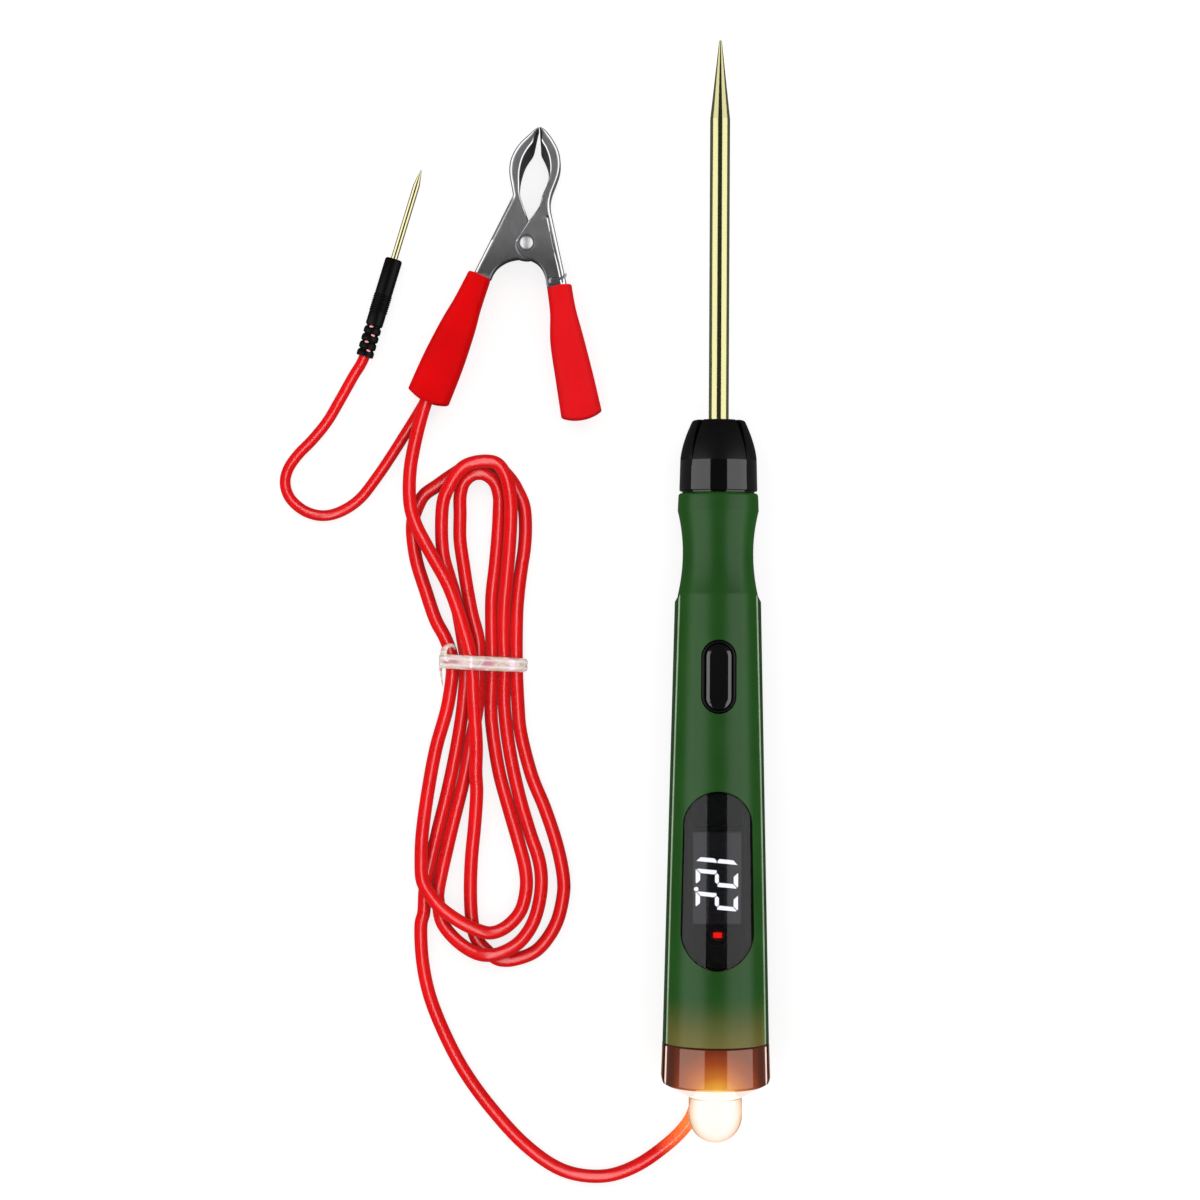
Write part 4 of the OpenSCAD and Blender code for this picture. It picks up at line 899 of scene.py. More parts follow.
for face in noseCollar.data.polygons:
    if (penBack @ face.center).y > (curveAt - 0.02) * mm:
        face.material_index = 1
setPiece(noseCollar, "tester", "black_gloss", "nose_collar")

# probe rod and its point
rod = {"radius": 2.0, "tail": 1.6, "tailAt": 121.0, "seat": 130.9, "pointAt": 192.9, "tipAt": 208.8,
       "tipRadius": 0.3}
r, tip, ballAt = rod["radius"], rod["tipRadius"], rod["tipAt"] - rod["tipRadius"]
profile = [(0, rod["tailAt"]), (rod["tail"], rod["tailAt"]), (rod["tail"], rod["seat"]), (r, rod["seat"]),
           (r, 150), (r, 172), (r, rod["pointAt"] - 0.1), (r - 0.01, rod["pointAt"] + 0.1)]
profile += [(r + (tip - r) * t, rod["pointAt"] + (ballAt - rod["pointAt"]) * t)
            for t in (0.25, 0.5, 0.75, 1.0)]
profile += [(tip * math.cos(a), ballAt + tip * math.sin(a)) for a in spread(0, math.pi / 2, 6)[1:-1]]
probeRod = makePiece("probeRod", turn(profile + [(0, rod["tipAt"])], 96, closed=False), penPlace, brassRod,
                     20)
setPiece(probeRod, "tester", "brass", "probe_rod")
print("nose and probe made")

# end cap: rings are (station, radius, 1 where the rail runs), and rail is (station, reach)
cap = {"rings": [(8.14, 9.6, 1), (8.05, 9.88, 1), (7.85, 10.02, 1), (7.7, 10.06, 1)]
                + [(7.7 - 0.52 * i, 10.06 + 0.0133 * i, 1) for i in range(1, 11)]
                + [(1.6, 10.22, 1), (1.2, 10.23, 1), (0.9, 10.235, 1), (0.55, 10.245, 1), (0.26, 10.25, 1),
                   (0.24, 10.25, 0), (0.12, 10.2, 0), (0.0, 10.05, 0), (-0.06, 9.93, 0), (-0.5, 9.1, 0),
                   (-1.2, 7.8, 0), (-1.9, 6.5, 0), (-2.34, 5.7, 0), (-2.4, 5.55, 0), (-2.4, 5.35, 0),
                   (-1.2, 5.35, 0), (-1.2, 6.2, 0), (1.4, 9.1, 0), (7.0, 9.0, 0), (8.0, 7.0, 0),
                   (12.5, 7.0, 0), (12.5, 8.0, 0), (8.14, 8.05, 0)],
       "rail": [(0.25, 10.35), (0.9, 10.65), (1.6, 10.8), (8.14, 10.6)], "boss": 2.2, "exit": 1.62}


def capRail(s):
    for (s0, x0), (s1, x1) in zip(cap["rail"], cap["rail"][1:]):
        if s <= s1:
            return x0 + (x1 - x0) * (s - s0) / (s1 - s0)


def fullSection(radius, rail, groove):
    top = halfSection(radius, rail, groove, 28)
    return top + [(x, -z) for x, z in reversed(top[1:-1])]


def exitBar(name, radius, s0, s1):
    bar = turn([(0, s0), (radius, s0), (radius, s1), (0, s1)], 48, closed=False)
    return makePiece(name, bar, exitPlace, litAbs)


rings = [[(x, s, z) for x, z in fullSection(radius, capRail(s) if rails else 0, s > 0.9)]
         for s, radius, rails in cap["rings"]]
endCap = makePiece("endCap", loftRings(rings, loop=True), penPlace, litAbs)
carve(endCap, exitBar("exitBoss", cap["boss"], -2.5, 1.0), "UNION")
carve(endCap, exitBar("exitHole", cap["exit"], -6.0, 6.0))
endCap.data.materials.append(litEdgeAbs)
# painted glow on the corner lines beside the cap's rails
markCorner(endCap, lambda s: 10.06 + 0.0256 * (7.7 - s), 0.3, 7.75, 0)
setPiece(endCap, "tester", "cap_black", "end_cap")

# lens: a dome on a tube with a groove near its foot
lens = {"radius": 5.3, "inner": 4.4, "centre": -6.3, "foot": 0.8}


def domeProfile(radius, count):
    angles = [k * math.pi / 2 / count for k in range(count)]
    rim = [(radius * math.cos(a), lens["centre"] - radius * math.sin(a)) for a in angles]
    return rim + [(0, lens["centre"] - radius)]


profile = [(lens["radius"], lens["foot"]), (5.3, -2.55), (5.2, -2.6), (5.2, -2.72), (5.3, -2.8),
           (5.3, -4.5)]
profile += domeProfile(lens["radius"], 24) + domeProfile(lens["inner"], 12)[::-1]
profile += [(lens["inner"], lens["foot"])]
lampLens = makePiece("lampLens", turn(profile, 96), penPlace, frostedPc)
setPiece(lampLens, "tester", "lens", "lamp_lens")

# grommet: a sleeve with a small flange outside the cap
profile = [(1.43, -4.0), (1.55, -4.0), (1.6, -3.9), (1.6, -3.75), (1.72, -3.72), (1.8, -3.6), (1.8, -2.7),
           (1.74, -2.58), (1.6, -2.56), (1.6, 3.0), (1.43, 3.0)]
cordGrommet = makePiece("cordGrommet", turn(profile, 48), exitPlace, rubberBlack)
setPiece(cordGrommet, "tester", "black_rubber", "cord_grommet")
print("cap and lens made")

# clip: folded steel jaws from the CAD source's curves, in x and y from the rivet
clip = {"sheet": 0.6, "fold": 0.75, "halfHeight": 3.85, "sleeveWall": 0.65}
fixedJaw = {
    "width": 5.0, "ear": (69, -117, 3.2, 3.3), "marks": (4.6, -1.0), "step": 0.0, "plain": -1.5,
    "plainFlank": (0.6, 8.8), "flank": [(-10.6, -6.1)],
    "edge": [(2.3, 23.35), (1.7, 23.1), (0.6, 22.1), (-1.2, 20.45), (-2.6, 18.5), (-3.4, 16.4),
             (-3.55, 14.2), (-3.2, 12), (-2.75, 9.7)],
    "near": [(2.05, 22.9), (1.6, 21.8), (1.2, 20.3), (0.1, 18.8), (-0.9, 16.9), (-1.45, 14.5), (-1.5, 12.0),
             (-1.3, 9.4), (0.4, 4.5)],
    "far": [(2.33, 22.9), (1.95, 21.2), (1.6, 19.5), (1.2, 18.0), (0.2, 16.5), (-0.5, 15.2), (-1.1, 13.3),
            (-1.4, 11.6), (-1.3, 9.4), (0.4, 4.5)],
    "arch": [(-1.5, -2.95), (-3.6, -3.4), (-5.5, -4.5), (-6.6, -5.8), (-7.2, -7.15)]}
movingJaw = {
    "width": 6.4, "ear": (164, 283, 2.1, 3.14), "marks": (4.6, -2.5), "step": 0.13, "plain": 0.4,
    "plainFlank": (30, 30), "flank": [(8.1, -8.2)],
    "edge": [(2.45, 23.35), (3.25, 23.05), (4.0, 22.35), (5.0, 21.05), (6.2, 18.9), (6.72, 16.6),
             (6.6, 14.4), (6.0, 12.4), (5.1, 10), (4.75, 8.2), (4.85, 6.4)],
    "near": [(2.8, 22.9), (3.05, 21.8), (2.95, 20.4), (3.75, 19.0), (4.5, 16.8), (4.65, 14.3), (4.05, 11.7),
             (3.15, 9.6), (2.45, 7.2), (0.5, 4.5)],
    "far": [(2.48, 22.9), (2.58, 21.2), (2.7, 19.6), (2.8, 18.2), (3.4, 17.0), (4.0, 15.6), (4.3, 14.1),
            (4.05, 11.7), (3.15, 9.6), (2.45, 7.2), (0.5, 4.5)],
    "arch": [(0.75, -3.06), (2.1, -3.8), (3.1, -4.95), (3.75, -6.5), (4.05, -8.3)]}
fixedHandle = {"root": (-9.45, -6.35), "turn": 157.4, "tail": -1.65,
               "sections": [(0, 0, 2.35), (6, 0, 2.85), (11.5, 0, 3.6), (19, 0, 4.2), (27, 0, 4.4)]}
movingHandle = {"root": (6.6, -8.45), "turn": 190.4, "tail": 1.75,
                "sections": [(0, 0, 2.5), (5, -0.15, 2.65), (11, -0.37, 3.42), (19, -0.2, 3.85),
                             (26.6, -0.1, 4.15)]}


def atHandle(handle, t, d):
    # t runs down the handle from its root, d across it
    a = math.radians(handle["turn"])
    x, y = handle["root"]
    return Vector((x - t * math.sin(a) - d * math.cos(a), y + t * math.cos(a) - d * math.sin(a)))


def resample(path, count):
    lengths = [0.0]
    for a, b in zip(path, path[1:]):
        lengths.append(lengths[-1] + (b - a).length)
    out, j = [], 0
    for want in spread(0, lengths[-1], count - 1):
        while j < len(lengths) - 2 and lengths[j + 1] < want:
            j += 1
        t = (want - lengths[j]) / max(lengths[j + 1] - lengths[j], 1e-9)
        out.append(path[j].lerp(path[j + 1], min(max(t, 0), 1)))
    return out


def splitByY(path, marks):
    # cuts a path that runs towards -Y into runs that end at the marks
    parts, run, k = [], [path[0]], 0
    for a, b in zip(path, path[1:]):
        while k < len(marks) and a.y >= marks[k] > b.y:
            cut = a.lerp(b, (a.y - marks[k]) / (a.y - b.y))
            parts.append(run + [cut])
            run = [cut]
            k += 1
        run.append(b)
    return parts + [run]


def tuckIn(handle, point):
    # narrows the strip where it enters its sleeve
    a = math.radians(handle["turn"])
    x, y, z = point
    dx, dy = x - handle["root"][0], y - handle["root"][1]
    t = -dx * math.sin(a) + dy * math.cos(a)
    d = -dx * math.cos(a) - dy * math.sin(a)
    k = min(max((t + 0.2) / 0.35, 0), 1)
    if k == 0:
        return point
    limit = 1.6 + 1.2 * (1 - k)
    at = atHandle(handle, t, min(max(d, -limit), limit))
    return at.x, at.y, z * (1 - 0.2 * k)


def stripRing(jaw, nearAt, farAt, edgeAt):
    # section of the folded strip: far plate, web and near plate outside, then back along the inside
    half, sheet, fold = jaw["width"] / 2, clip["sheet"], clip["fold"]
    toNear, toFar = nearAt - edgeAt, farAt - edgeAt
    a, b = toNear.length, toFar.length
    toNear, toFar = toNear / max(a, 1e-6), toFar / max(b, 1e-6)
    middle = (toNear + toFar).normalized()
    f, g = min(fold, 0.4 * a), min(fold, 0.4 * b)
    c, e = min(0.3, 0.25 * a), min(0.3, 0.25 * b)
    step = jaw["step"] if edgeAt.y < 5.6 and a > 1.5 else 0.0
    inner = min(sheet, 0.3 * a)
    bend = [(1 - math.sin(k * math.pi / 10), 1 - math.cos(k * math.pi / 10)) for k in range(5)]
    ring = [(toFar, b - 0.2 * e, -half + sheet), (toFar, b, -half + sheet - 0.08), (toFar, b, -half + c),
            (toFar, b - e, -half), (toFar, 0.5 * (b + g), -half)]
    ring += [(toFar, g * u, -half + fold * v) for u, v in bend]
    ring += [(toFar, 0, -half + fold), (middle, 0, 0), (toNear, 0, half - fold)]
    ring += [(toNear, f * u, half - step - (fold - step) * v) for u, v in bend[::-1]]
    ring += [(toNear, f + 0.04 * a, half - step), (toNear, f + 0.1 * a if step == 0 else f + 0.42, half),
             (toNear, 0.55 * (a + f), half), (toNear, a - c, half), (toNear, a - 0.22 * c, half - 0.6 * c),
             (toNear, a, half - 1.1 * c), (toNear, a, half - sheet + 0.08),
             (toNear, a - 0.2 * c, half - sheet), (toNear, 0.5 * (a + f), half - sheet),
             (toNear, inner + 0.15, half - sheet), (toNear, inner, half - fold), (middle, inner, 0),
             (toFar, inner, -half + fold), (toFar, inner + 0.15, -half + sheet),
             (toFar, 0.5 * (b + g), -half + sheet)]
    return [(edgeAt.x + way.x * d, edgeAt.y + way.y * d, z) for way, d, z in ring]


def jawPiece(name, jaw, handle):
    # one folded strip, section by section from the tip to its tail in the sleeve
    near, far, arch = catmull(jaw["near"], 8), catmull(jaw["far"], 8), catmull(jaw["arch"], 6)
    tails = [atHandle(handle, 12, d) for d in (-handle["tail"], handle["tail"])]
    a0, a1, r0, r1 = jaw["ear"]
    ear = [Vector((math.cos(math.radians(a)), math.sin(math.radians(a)))) * r
           for a, r in zip(spread(a0, a1, 20), spread(r0, r1, 20))]
    ear = [near[-1]] + ear + [arch[0]]
    arm = [arch[-1], tails[0]]
    outer = catmull(jaw["edge"], 8) + [Vector(p) for p in jaw["flank"]]
    outerRuns = splitByY(outer, jaw["marks"]) + [[outer[-1], tails[1]]]
    places = []
    for count, *runs in zip((40, 26, 16, 26), (near, ear, arch, arm), (far, ear, arch, arm), outerRuns):
        rows = list(zip(*(resample(run, count) for run in runs)))
        places += rows[1:] if places else rows
    rings = [[tuckIn(handle, point) for point in stripRing(jaw, *row)] for row in places]
    piece = makePiece(name, loftRings(rings), clipPlace, stampedSteel, 25)
    piece.data.materials.append(shadowSteel)
    piece.data.materials.append(brightSteelAndHighlight)
    foot, head = jaw["flank"][0], jaw["edge"][-1]
    for face in piece.data.polygons:
        x, y, z = clipBack @ face.center / mm
        # painted shade: the far plates, seen in the mouth, take the dark steel
        if z < -1.2 and face.normal.z > 0.3:
            face.material_index = 1
        elif z > jaw["width"] / 2 - clip["fold"] and 0.3 < face.normal.z < 0.97:
            # painted highlight: bright steel on the folds and bites; painted shade: the dark steel on the
            # plain stretch of the flank and on the arch and the ear below the plain mark
            onFlank = abs(x - foot[0] - (head[0] - foot[0]) * (y - foot[1]) / (head[1] - foot[1])) < 1.3
            low, high = jaw["plainFlank"]
            plain = low < y < high if onFlank or y > 5 else y < jaw["plain"]
            face.material_index = 1 if plain and (onFlank or y < 5) else 2
    return piece


# coil spring round the rivet; its last turn and its leg turn with the moving jaw
spring = {"radius": 1.75, "wire": 0.3, "rise": 0.75, "foot": 1.125, "from": 110, "step": 11.3,
          "perTurn": 33.3}


def springTurn(first, last, z=None):
    out = []
    for i in range(first, last):
        a = math.radians(spring["from"] - spring["step"] * i)
        height = spring["rise"] * (i / spring["perTurn"] - 1.5) if z is None else z
        out.append((spring["radius"] * math.cos(a), spring["radius"] * math.sin(a), height))
    return out


jawFixed = jawPiece("jawFixed", fixedJaw, fixedHandle)
setPiece(jawFixed, "tester", "clip_steel", "clip_jaw_fixed")
jawMoving = jawPiece("jawMoving", movingJaw, movingHandle)
# ridge pressed across the plate just before the sleeve
ridgeLine = catmull([(4.75, -8.0, 3.1), (4.75, -7.45, 3.16), (5.3, -7.1, 3.2), (6.4, -7.2, 3.2),
                     (7.3, -7.0, 3.2), (7.75, -6.7, 3.1), (7.85, -6.2, 2.9)], 5)
ridge = wirePiece("ridge", ridgeLine, 0.26, clipPlace, brightSteelAndHighlight, 12)
legRoute = springTurn(70, 101, spring["foot"]) + [(4.2, -0.8, spring["foot"]), (6.4, -4.4, spring["foot"])]
springLeg = wirePiece("springLeg", legRoute, spring["wire"], clipPlace, brightSteelAndHighlight)
joinPieces(jawMoving, ridge, springLeg)
shadeByAngle(jawMoving.data, 25)
setPiece(jawMoving, "jaw", "clip_steel", "clip_jaw_moving")

# rivet with pressed rings on both heads
rivetHead = [(0, -3.66), (0.14, -3.7), (0.3, -3.68), (0.37, -3.64), (0.46, -3.7), (0.66, -3.67),
             (0.74, -3.62), (0.84, -3.66), (1.02, -3.6), (1.16, -3.5), (1.28, -3.36), (1.32, -3.28),
             (1.36, -3.26), (1.66, -3.26), (1.74, -3.2), (1.0, -3.0)]
profile = rivetHead + [(r, -z) for r, z in reversed(rivetHead)]
rivet = makePiece("clipRivet", turn(profile, 64, closed=False),
                  clipPlace @ Matrix.Rotation(math.pi / 2, 4, "X"), rivetSteel, 20)
rivet.data.materials.append(shadowSteel)
# painted shadow: dark steel round the bright middle of each head
for face in rivet.data.polygons:
    if (clipBack @ face.center).xy.length > 1.33 * mm:
        face.material_index = 1
setPiece(rivet, "tester", "bright_steel", "clip_rivet")

coil = [(-8.3, -4.1, -spring["foot"]), (-5.4, -1.2, -spring["foot"])] + springTurn(0, 71)
clipSpring = wirePiece("clipSpring", coil, spring["wire"], clipPlace, brightSteelAndHighlight)
setPiece(clipSpring, "tester", "bright_steel", "clip_spring")


def sleevePiece(name, handle, material, mouth, bulge):
    # rounded oblong rings that widen towards the hand; sections are (t, shift, half width)
    sections = catmull(handle["sections"], 10)
    a = math.radians(handle["turn"])
    last = sections[-1].x

    def ringAt(section, t, inset):
        ring = []
        for c, s in oval(1, 1, 64):
            cx, cz = math.copysign(abs(c) ** 0.62, c), math.copysign(abs(s) ** 0.62, s)
            lip = mouth * cx * cx * max(1 - t / 8, 0)
            at = atHandle(handle, t + lip + bulge * (0.6 - cx * cx) * (t / last) ** 6, section.y)
            wide = (section.z - inset) * cx
            ring.append((at.x + wide * math.cos(a), at.y + wide * math.sin(a),
                         (clip["halfHeight"] - inset) * cz))
        return ring

    def skin(inset, lips):
        # a soft lip of two rings at each end
        ends = [(sections[0], 0), (sections[0], 0.15), (sections[-1], last - 0.2), (sections[-1], last)]
        lipRings = [ringAt(section, t, lip) for (section, t), lip in zip(ends, lips)]
        return lipRings[:2] + [ringAt(s, s.x, inset) for s in sections[1:-1]] + lipRings[2:]

    wall = clip["sleeveWall"]
    outer = skin(0, (0.12, 0.02, 0.03, 0.18))
    inner = skin(wall, (wall - 0.1, wall, wall, wall - 0.12))
    return makePiece(name, loftRings(outer + inner[::-1], loop=True), clipPlace, material, 50)


sleeveFixed = sleevePiece("sleeveFixed", fixedHandle, sleeveLeft, 0.05, 0.95)
setPiece(sleeveFixed, "tester", "red_sleeve", "sleeve_fixed")
sleeveMoving = sleevePiece("sleeveMoving", movingHandle, sleeveRight, 0.15, 0.9)
setPiece(sleeveMoving, "jaw", "red_sleeve", "sleeve_moving")
print("clip made")

# needle probe: handle, ring grip, slotted relief and needle
needle = {"start": 6.4, "face": 20.55, "radius": 1.75, "bore": 1.15, "boreEnd": 11.42, "pinBore": 0.47,
          "waist": 1.72, "pin": 0.68, "pinTail": 0.45, "tip": 39.35, "rings": 8, "ringAt": 9.55,
          "ringPitch": 0.46}
start, face, r = needle["start"], needle["face"], needle["radius"]
profile = [(needle["bore"], start), (1.5, start), (1.62, start + 0.1), (r, 6.75), (r, 9.2),
           (needle["waist"], 9.35), (needle["waist"], 13.03), (r, 13.2), (r, face - 0.5),
           (1.68, face - 0.2), (1.5, face - 0.02), (1.35, face), (0.7, face), (0.7, face - 2),
           (needle["pinBore"], face - 2), (needle["pinBore"], needle["boreEnd"]),
           (needle["bore"], needle["boreEnd"])]
handlePiece = makePiece("needleHandle", turn(profile, 64), needlePlace, softBlackPvc)
gripRing = looseShape("gripRing", turn([(1.6, -0.2), (1.74, -0.18), (1.84, -0.12), (1.88, 0), (1.84, 0.12),
                                        (1.74, 0.18), (1.6, 0.2)], 48))
joinPieces(handlePiece, rowPiece("gripRings", gripRing, needlePlace, softBlackPvc, needle["rings"],
                                 needle["ringAt"], needle["ringPitch"]))
setPiece(handlePiece, "tester", "black_matte", "needle_handle")

# beads are (radius, share of the pitch), slot rows are (first slot, turn round the relief)
relief = {"length": 6.38, "count": 4, "low": 1.4, "slot": (0.5, 0.21), "slotPitch": 3.2,
          "beads": [(1.7, 0.06), (1.75, 0.3), (1.73, 0.6), (1.6, 0.78), (1.4, 0.86), (1.4, 0.95)],
          "slotRows": [(1.28, 0.42), (2.9, -0.28)]}
pitch = relief["length"] / relief["count"]
profile = [(needle["bore"], 0), (1.62, 0.0)]
profile += [(radius, pitch * (i + share)) for i in range(relief["count"])
            for radius, share in relief["beads"]]
profile += [(relief["low"], relief["length"]), (needle["bore"], relief["length"])]
needleRelief = makePiece("needleRelief", turn(profile, 64), needlePlace, softBlackPvc)
for first, turnBy in relief["slotRows"]:
    slotPart = looseShape("slotPart", prism(oval(*relief["slot"], 24), -4, 4))
    slotPlace = needlePlace @ Matrix.Rotation(turnBy, 4, "Y")
    carve(needleRelief, rowPiece("slots", slotPart, slotPlace, softBlackPvc, 2, first, relief["slotPitch"]))
setPiece(needleRelief, "tester", "black_matte", "needle_relief")

pin, tip = needle["pin"], needle["tip"]
profile = [(0, 8.4), (needle["pinTail"], 8.4), (needle["pinTail"], face - 1.95), (pin, face - 1.95),
           (pin, tip - 3.4), (0.66, tip - 3.2), (0.4, tip - 1.5), (0.14, tip - 0.1), (0.06, tip - 0.02),
           (0, tip)]
needlePin = makePiece("needlePin", turn(profile, 48, closed=False), needlePlace, needleBrass, 25)
setPiece(needlePin, "tester", "brass", "needle_pin")
print("needle made")

# clear tie: a soft film tube drawn round the hank, crossed over itself and twisted shut; its path is
# (x, z, fullness, share of the width) in the plane across the hank
tie = {"width": 2.85, "thick": 1.05, "under": 0.16, "lobes": 0.42, "at": -15.1, "drift": 0.045,
       "middle": -47,
       "path": [(-38.35, 1.5, 0.5, 0.8), (-38.75, 2.7, 0.75, 0.93), (-40.0, 3.45, 0.95, 1),
                (-42.4, 3.75, 1, 1), (-45.6, 4.5, 1, 1), (-47.8, 5.45, 1, 1), (-49.4, 5.85, 1, 1),
                (-51.0, 5.5, 1, 1), (-52.7, 4.5, 1, 1), (-54.2, 3.75, 1, 1), (-55.15, 3.1, 0.9, 0.95),
                (-55.75, 2.0, 0.6, 0.85), (-55.65, 0.9, 0.3, 0.8), (-54.9, 0.1, 0, 0.85),
                (-50, 0.1, 0, 0.9), (-44, 0.1, 0, 0.9), (-39.3, 0.1, 0, 0.85), (-38.55, 0.7, 0.25, 0.8)]}


def sweep(points, sections, closed=False):
    # flat sections (across, up) carried along a path; across stays as near to the given side as it can
    rings = []
    count = len(points)
    for i, (point, (side, section)) in enumerate(zip(points, sections)):
        ahead = points[(i + 1) % count] if closed or i < count - 1 else point
        behind = points[i - 1] if closed or i else point
        way = (ahead - behind).normalized()
        across = (side - way * side.dot(way)).normalized()
        up = way.cross(across)
        rings.append([tuple(point + across * a + up * b) for a, b in section])
    return loftRings(rings, loop=closed)


def lobed(width, thick):
    # two soft lobes side by side
    out = []
    for c, s in oval(1, 1, 28):
        pinch = 1 - tie["lobes"] * math.exp(-(c / 0.3) ** 2)
        out.append((0.5 * width * math.copysign(abs(c) ** 0.8, c), 0.5 * thick * s * pinch))
    return out


def twistPiece(name, marks, turns):
    # marks are (x, y, z, width, thickness)
    path = catmull(marks, 8)
    sections = []
    for i, p in enumerate(path):
        a = turns * i / len(path)
        oblong = oval(0.5 * max(p[3], 0.06), 0.5 * max(p[4], 0.05), 14)
        sections.append((Vector((math.cos(a), 0.3, math.sin(a))), oblong))
    return makePiece(name, sweep([Vector(p[:3]) for p in path], sections), worldPlace, clearFilm)


points, sections = [], []
for x, z, full, share in catmull(tie["path"], 5, closed=True):
    points.append(Vector((x, tie["at"] - tie["drift"] * (x - tie["middle"]), max(z, 0.1))))
    thick = tie["under"] + (tie["thick"] - tie["under"]) * min(max(full, 0), 1)
    sections.append((Vector((0, 1, 0)), lobed(tie["width"] * share, thick)))
twistTie = makePiece("loopBand", sweep(points, sections, True), worldPlace, clearFilm)
knot = twistPiece("knot", [(-53.9, -14.9, 3.9, 1.5, 0.8), (-54.75, -14.0, 4.1, 1.5, 0.9),
                           (-54.95, -12.9, 4.2, 1.4, 1.0), (-54.5, -11.95, 4.1, 1.35, 0.9),
                           (-53.7, -11.55, 3.7, 1.2, 0.8), (-53.0, -11.75, 3.1, 0.9, 0.6),
                           (-52.75, -12.3, 2.5, 0.4, 0.3)], 1.4)
tail = twistPiece("tail", [(-54.6, -14.0, 3.6, 1.2, 0.7), (-55.3, -14.9, 3.2, 0.95, 0.6),
                           (-55.6, -16.2, 2.4, 0.7, 0.5), (-55.5, -18.0, 1.6, 0.5, 0.35),
                           (-55.25, -20.0, 0.9, 0.12, 0.1)], 2.0)
joinPieces(twistTie, knot, tail)
setPiece(twistTie, "tester", "clear_tie", "twist_tie")
print("tie made")

# screws seen in the back shell, with a cross in each head
head = [(0, -6.3), (1.5, -6.28), (1.8, -6.15), (1.9, -5.9), (1.9, -5.0), (0.95, -5.0), (0.95, 5.4),
        (0, 5.4)]
verts, faces = turn(head, 48, closed=False)
screw = looseShape("screw", ([(x, z, s) for x, s, z in verts], faces))
for a, b in ((1.1, 0.25), (0.25, 1.1)):
    carve(screw, looseShape("cross", prism([(-a, -b), (a, -b), (a, b), (-a, b)], -7.5, -5.7)))
firstAt, secondAt = screws["at"]
caseScrews = rowPiece("caseScrews", screw, penPlace, screwSteel, 2, firstAt, secondAt - firstAt,
                      (0, 0, 0.6))
setPiece(caseScrews, "tester", "screw_steel", "case_screws")

# CAD nodes that keep their own shape, with their real finishes
finishes = {"probe_socket": needleBrass, "circuit_board": boardMask, "display_module": displayAbs,
            "indicator_led": redLed, "tact_switch": switchNylon, "tact_plunger": plungerAcetal,
            "lamp_led": lampEpoxy, "board_wire": wirePvc, "wire_crimp": brightSteelAndHighlight}
for name, material in finishes.items():
    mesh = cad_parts[name].data
    mesh.materials.clear()
    mesh.materials.append(material)

# floor, backdrop and lamps; lengths in metres, angles in degrees off straight up
studio = {"panelLight": 1.25, "near": 25.0, "far": 100.0, "distance": 0.95, "shift": -0.02,
          "penSpan": (-1.15, 0.3), "tipSpan": (0.3, 1.15), "wholeSpan": (-1.1, 1.1), "soft": 1.4,
          "top": 0.68, "fill": 0.28, "fillGloss": 0.03, "leadStrip": 4.6, "leadStripWide": 9.0,
          "tipShine": 1.0, "floorLit": 0.4, "floorSeen": 0.77, "floorGloss": 0.1, "floorHalf": 1.5}
half = studio["floorHalf"]
floorMesh = bpy.data.meshes.new("floor")
floorMesh.from_pydata([(-half, -half, 0), (half, -half, 0), (half, half, 0), (-half, half, 0)], [],
                      [(0, 1, 2, 3)])
floor = bpy.data.objects.new("floor", floorMesh)
scene.collection.objects.link(floor)
# matt white paper sweep: white to the eye, quiet in reflections, with the object's soft shadow
paper = startMaterial("paperSweep", "#ffffff", 0.9, Specular_IOR_Level=0.0, Emission_Color="#ffffff")
tree = paper.node_tree
feed(tree, "Base Color", addNode(tree, "ShaderNodeValToRGB", {"Fac": grain(tree, 30.0)},
                                 stops=[(0.0, studio["floorLit"] * 0.99), (1.0, studio["floorLit"])]))
ray = addNode(tree, "ShaderNodeLightPath").node.outputs
seen = addNode(tree, "ShaderNodeMath", {0: ray["Is Camera Ray"], 1: ray["Is Transmission Ray"]},
               operation="MAXIMUM")
feed(tree, "Emission Strength", addNode(tree, "ShaderNodeMath", {0: seen, 1: studio["floorSeen"]},
                                        operation="MULTIPLY"))
mirrored = addNode(tree, "ShaderNodeEmission", {"Strength": studio["floorGloss"]})
onlyGloss = addNode(tree, "ShaderNodeMath", {0: ray["Is Glossy Ray"], 1: seen}, operation="SUBTRACT")
both = addNode(tree, "ShaderNodeMixShader", {0: onlyGloss, 1: tree.nodes["Principled BSDF"].outputs[0],
                                             2: mirrored})
tree.links.new(both, tree.nodes["Material Output"].inputs["Surface"])
floorMesh.materials.append(paper)

world = bpy.data.worlds.new("studio")
scene.world = world
world.use_nodes = True
tree = world.node_tree
tree.nodes.clear()
ray = addNode(tree, "ShaderNodeLightPath").node.outputs
dim = addNode(tree, "ShaderNodeMapRange", {"Value": ray["Is Glossy Ray"], "To Min": studio["fill"],
                                           "To Max": studio["fillGloss"]})
level = addNode(tree, "ShaderNodeMath", {0: ray["Is Camera Ray"], 1: dim}, operation="MAXIMUM")
sky = addNode(tree, "ShaderNodeBackground", {"Color": "#ffffff", "Strength": level})
addNode(tree, "ShaderNodeOutputWorld", {"Surface": sky})


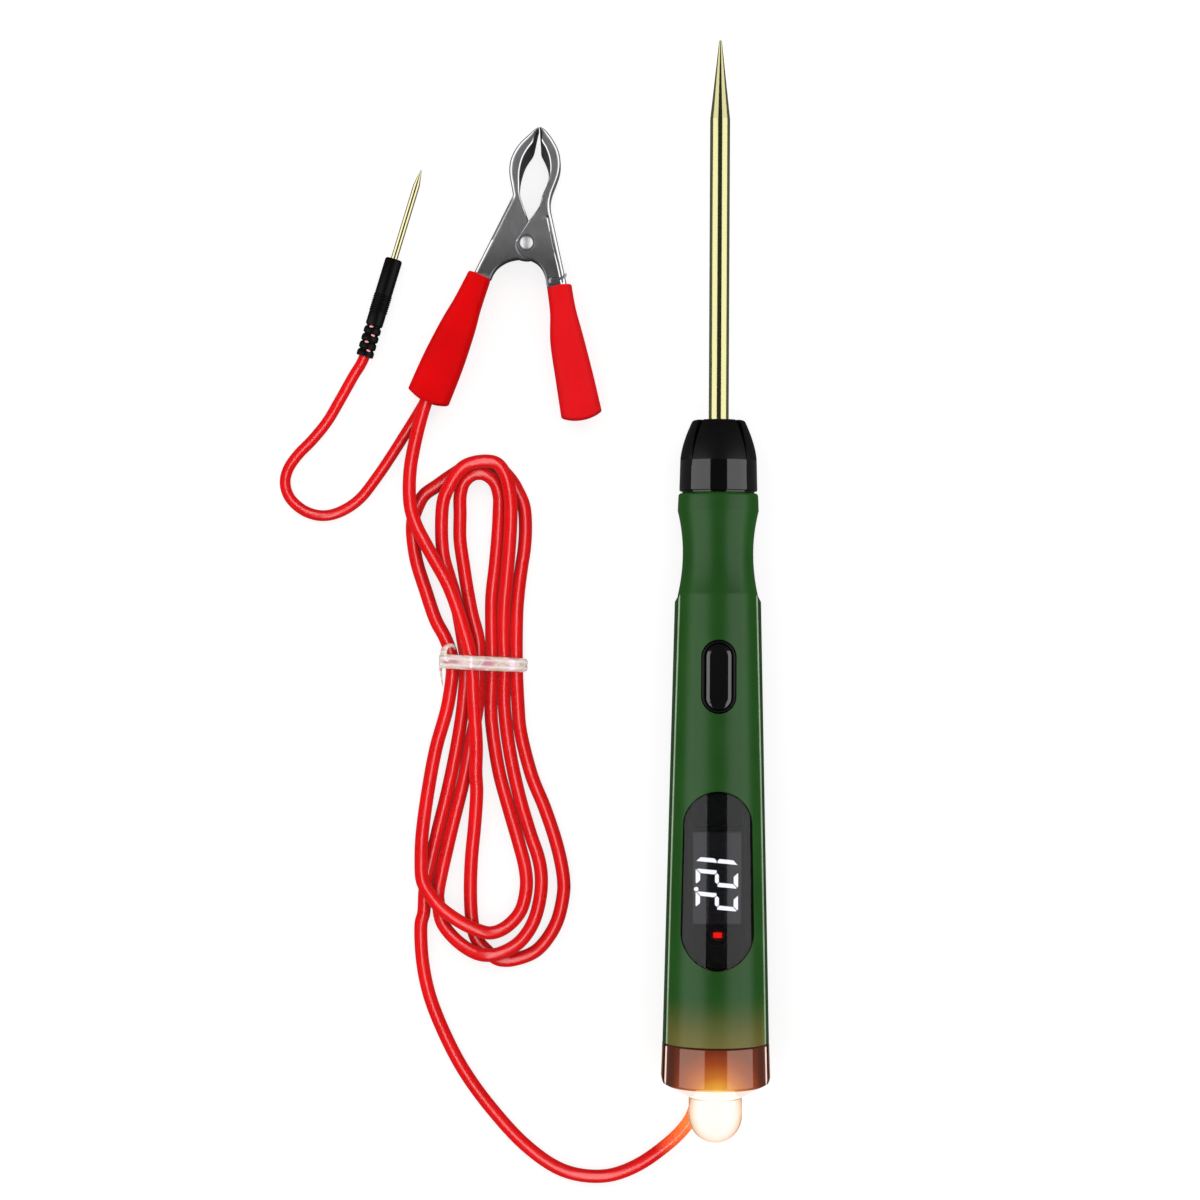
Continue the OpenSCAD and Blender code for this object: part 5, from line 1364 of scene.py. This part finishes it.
def areaLight(name, radiance, angles, span, receivers=None):
    # a flat panel along Y that spans two angles; one with receivers gives only those pieces their gloss
    first, last = (Vector((math.sin(a), math.cos(a))) * studio["distance"]
                   for a in map(math.radians, angles))
    middle = (first + last) / 2
    light = bpy.data.lights.new(name, "AREA")
    light.shape = "RECTANGLE"
    light.size = (first - last).length
    light.size_y = span[1] - span[0]
    light.energy = radiance * math.pi * light.size * light.size_y
    panel = bpy.data.objects.new(name, light)
    panel.location = (middle.x + studio["shift"], (span[0] + span[1]) / 2, middle.y)
    panel.rotation_euler = (0, math.atan2(middle.x, middle.y), 0)
    panel.visible_camera = False
    panel.visible_glossy = receivers is not None
    panel.visible_diffuse = receivers is None
    scene.collection.objects.link(panel)
    panel.light_linking.receiver_collection = receivers


def lightGroup(name, pieces, state="INCLUDE"):
    group = bpy.data.collections.new(name)
    for piece in pieces:
        group.objects.link(piece)
    for item in group.collection_objects:
        item.light_linking.link_state = state
    return group


# the photograph joins parts lit apart, so the red parts don't show in the gloss of the others
for piece in (mainLead, branchLead, sleeveFixed, sleeveMoving):
    piece.visible_glossy = False
hankPieces = (mainLead, branchLead, twistTie)
notLeads = lightGroup("notLeads", hankPieces, "EXCLUDE")
onlyLeads = lightGroup("onlyLeads", hankPieces)
onlyMetal = lightGroup("onlyMetal", (jawFixed, jawMoving, rivet, clipSpring, needlePin))
onlyRod = lightGroup("onlyRod", (probeRod,))
for side in (-1, 1):
    angles = (side * studio["near"], side * studio["far"])
    areaLight("sideShine", studio["panelLight"], angles, studio["penSpan"], notLeads)
    areaLight("clipShine", studio["panelLight"], angles, studio["tipSpan"], onlyMetal)
    areaLight("tipShine", studio["tipShine"], angles, studio["tipSpan"], onlyRod)
    areaLight("sideSoft", studio["soft"], angles, studio["wholeSpan"])
near, strip = studio["near"], studio["leadStripWide"]
areaLight("topSoft", studio["top"], (-near, near), studio["wholeSpan"])
areaLight("leadStrip", studio["leadStrip"], (-strip, strip), studio["wholeSpan"], onlyLeads)
print("studio lit")
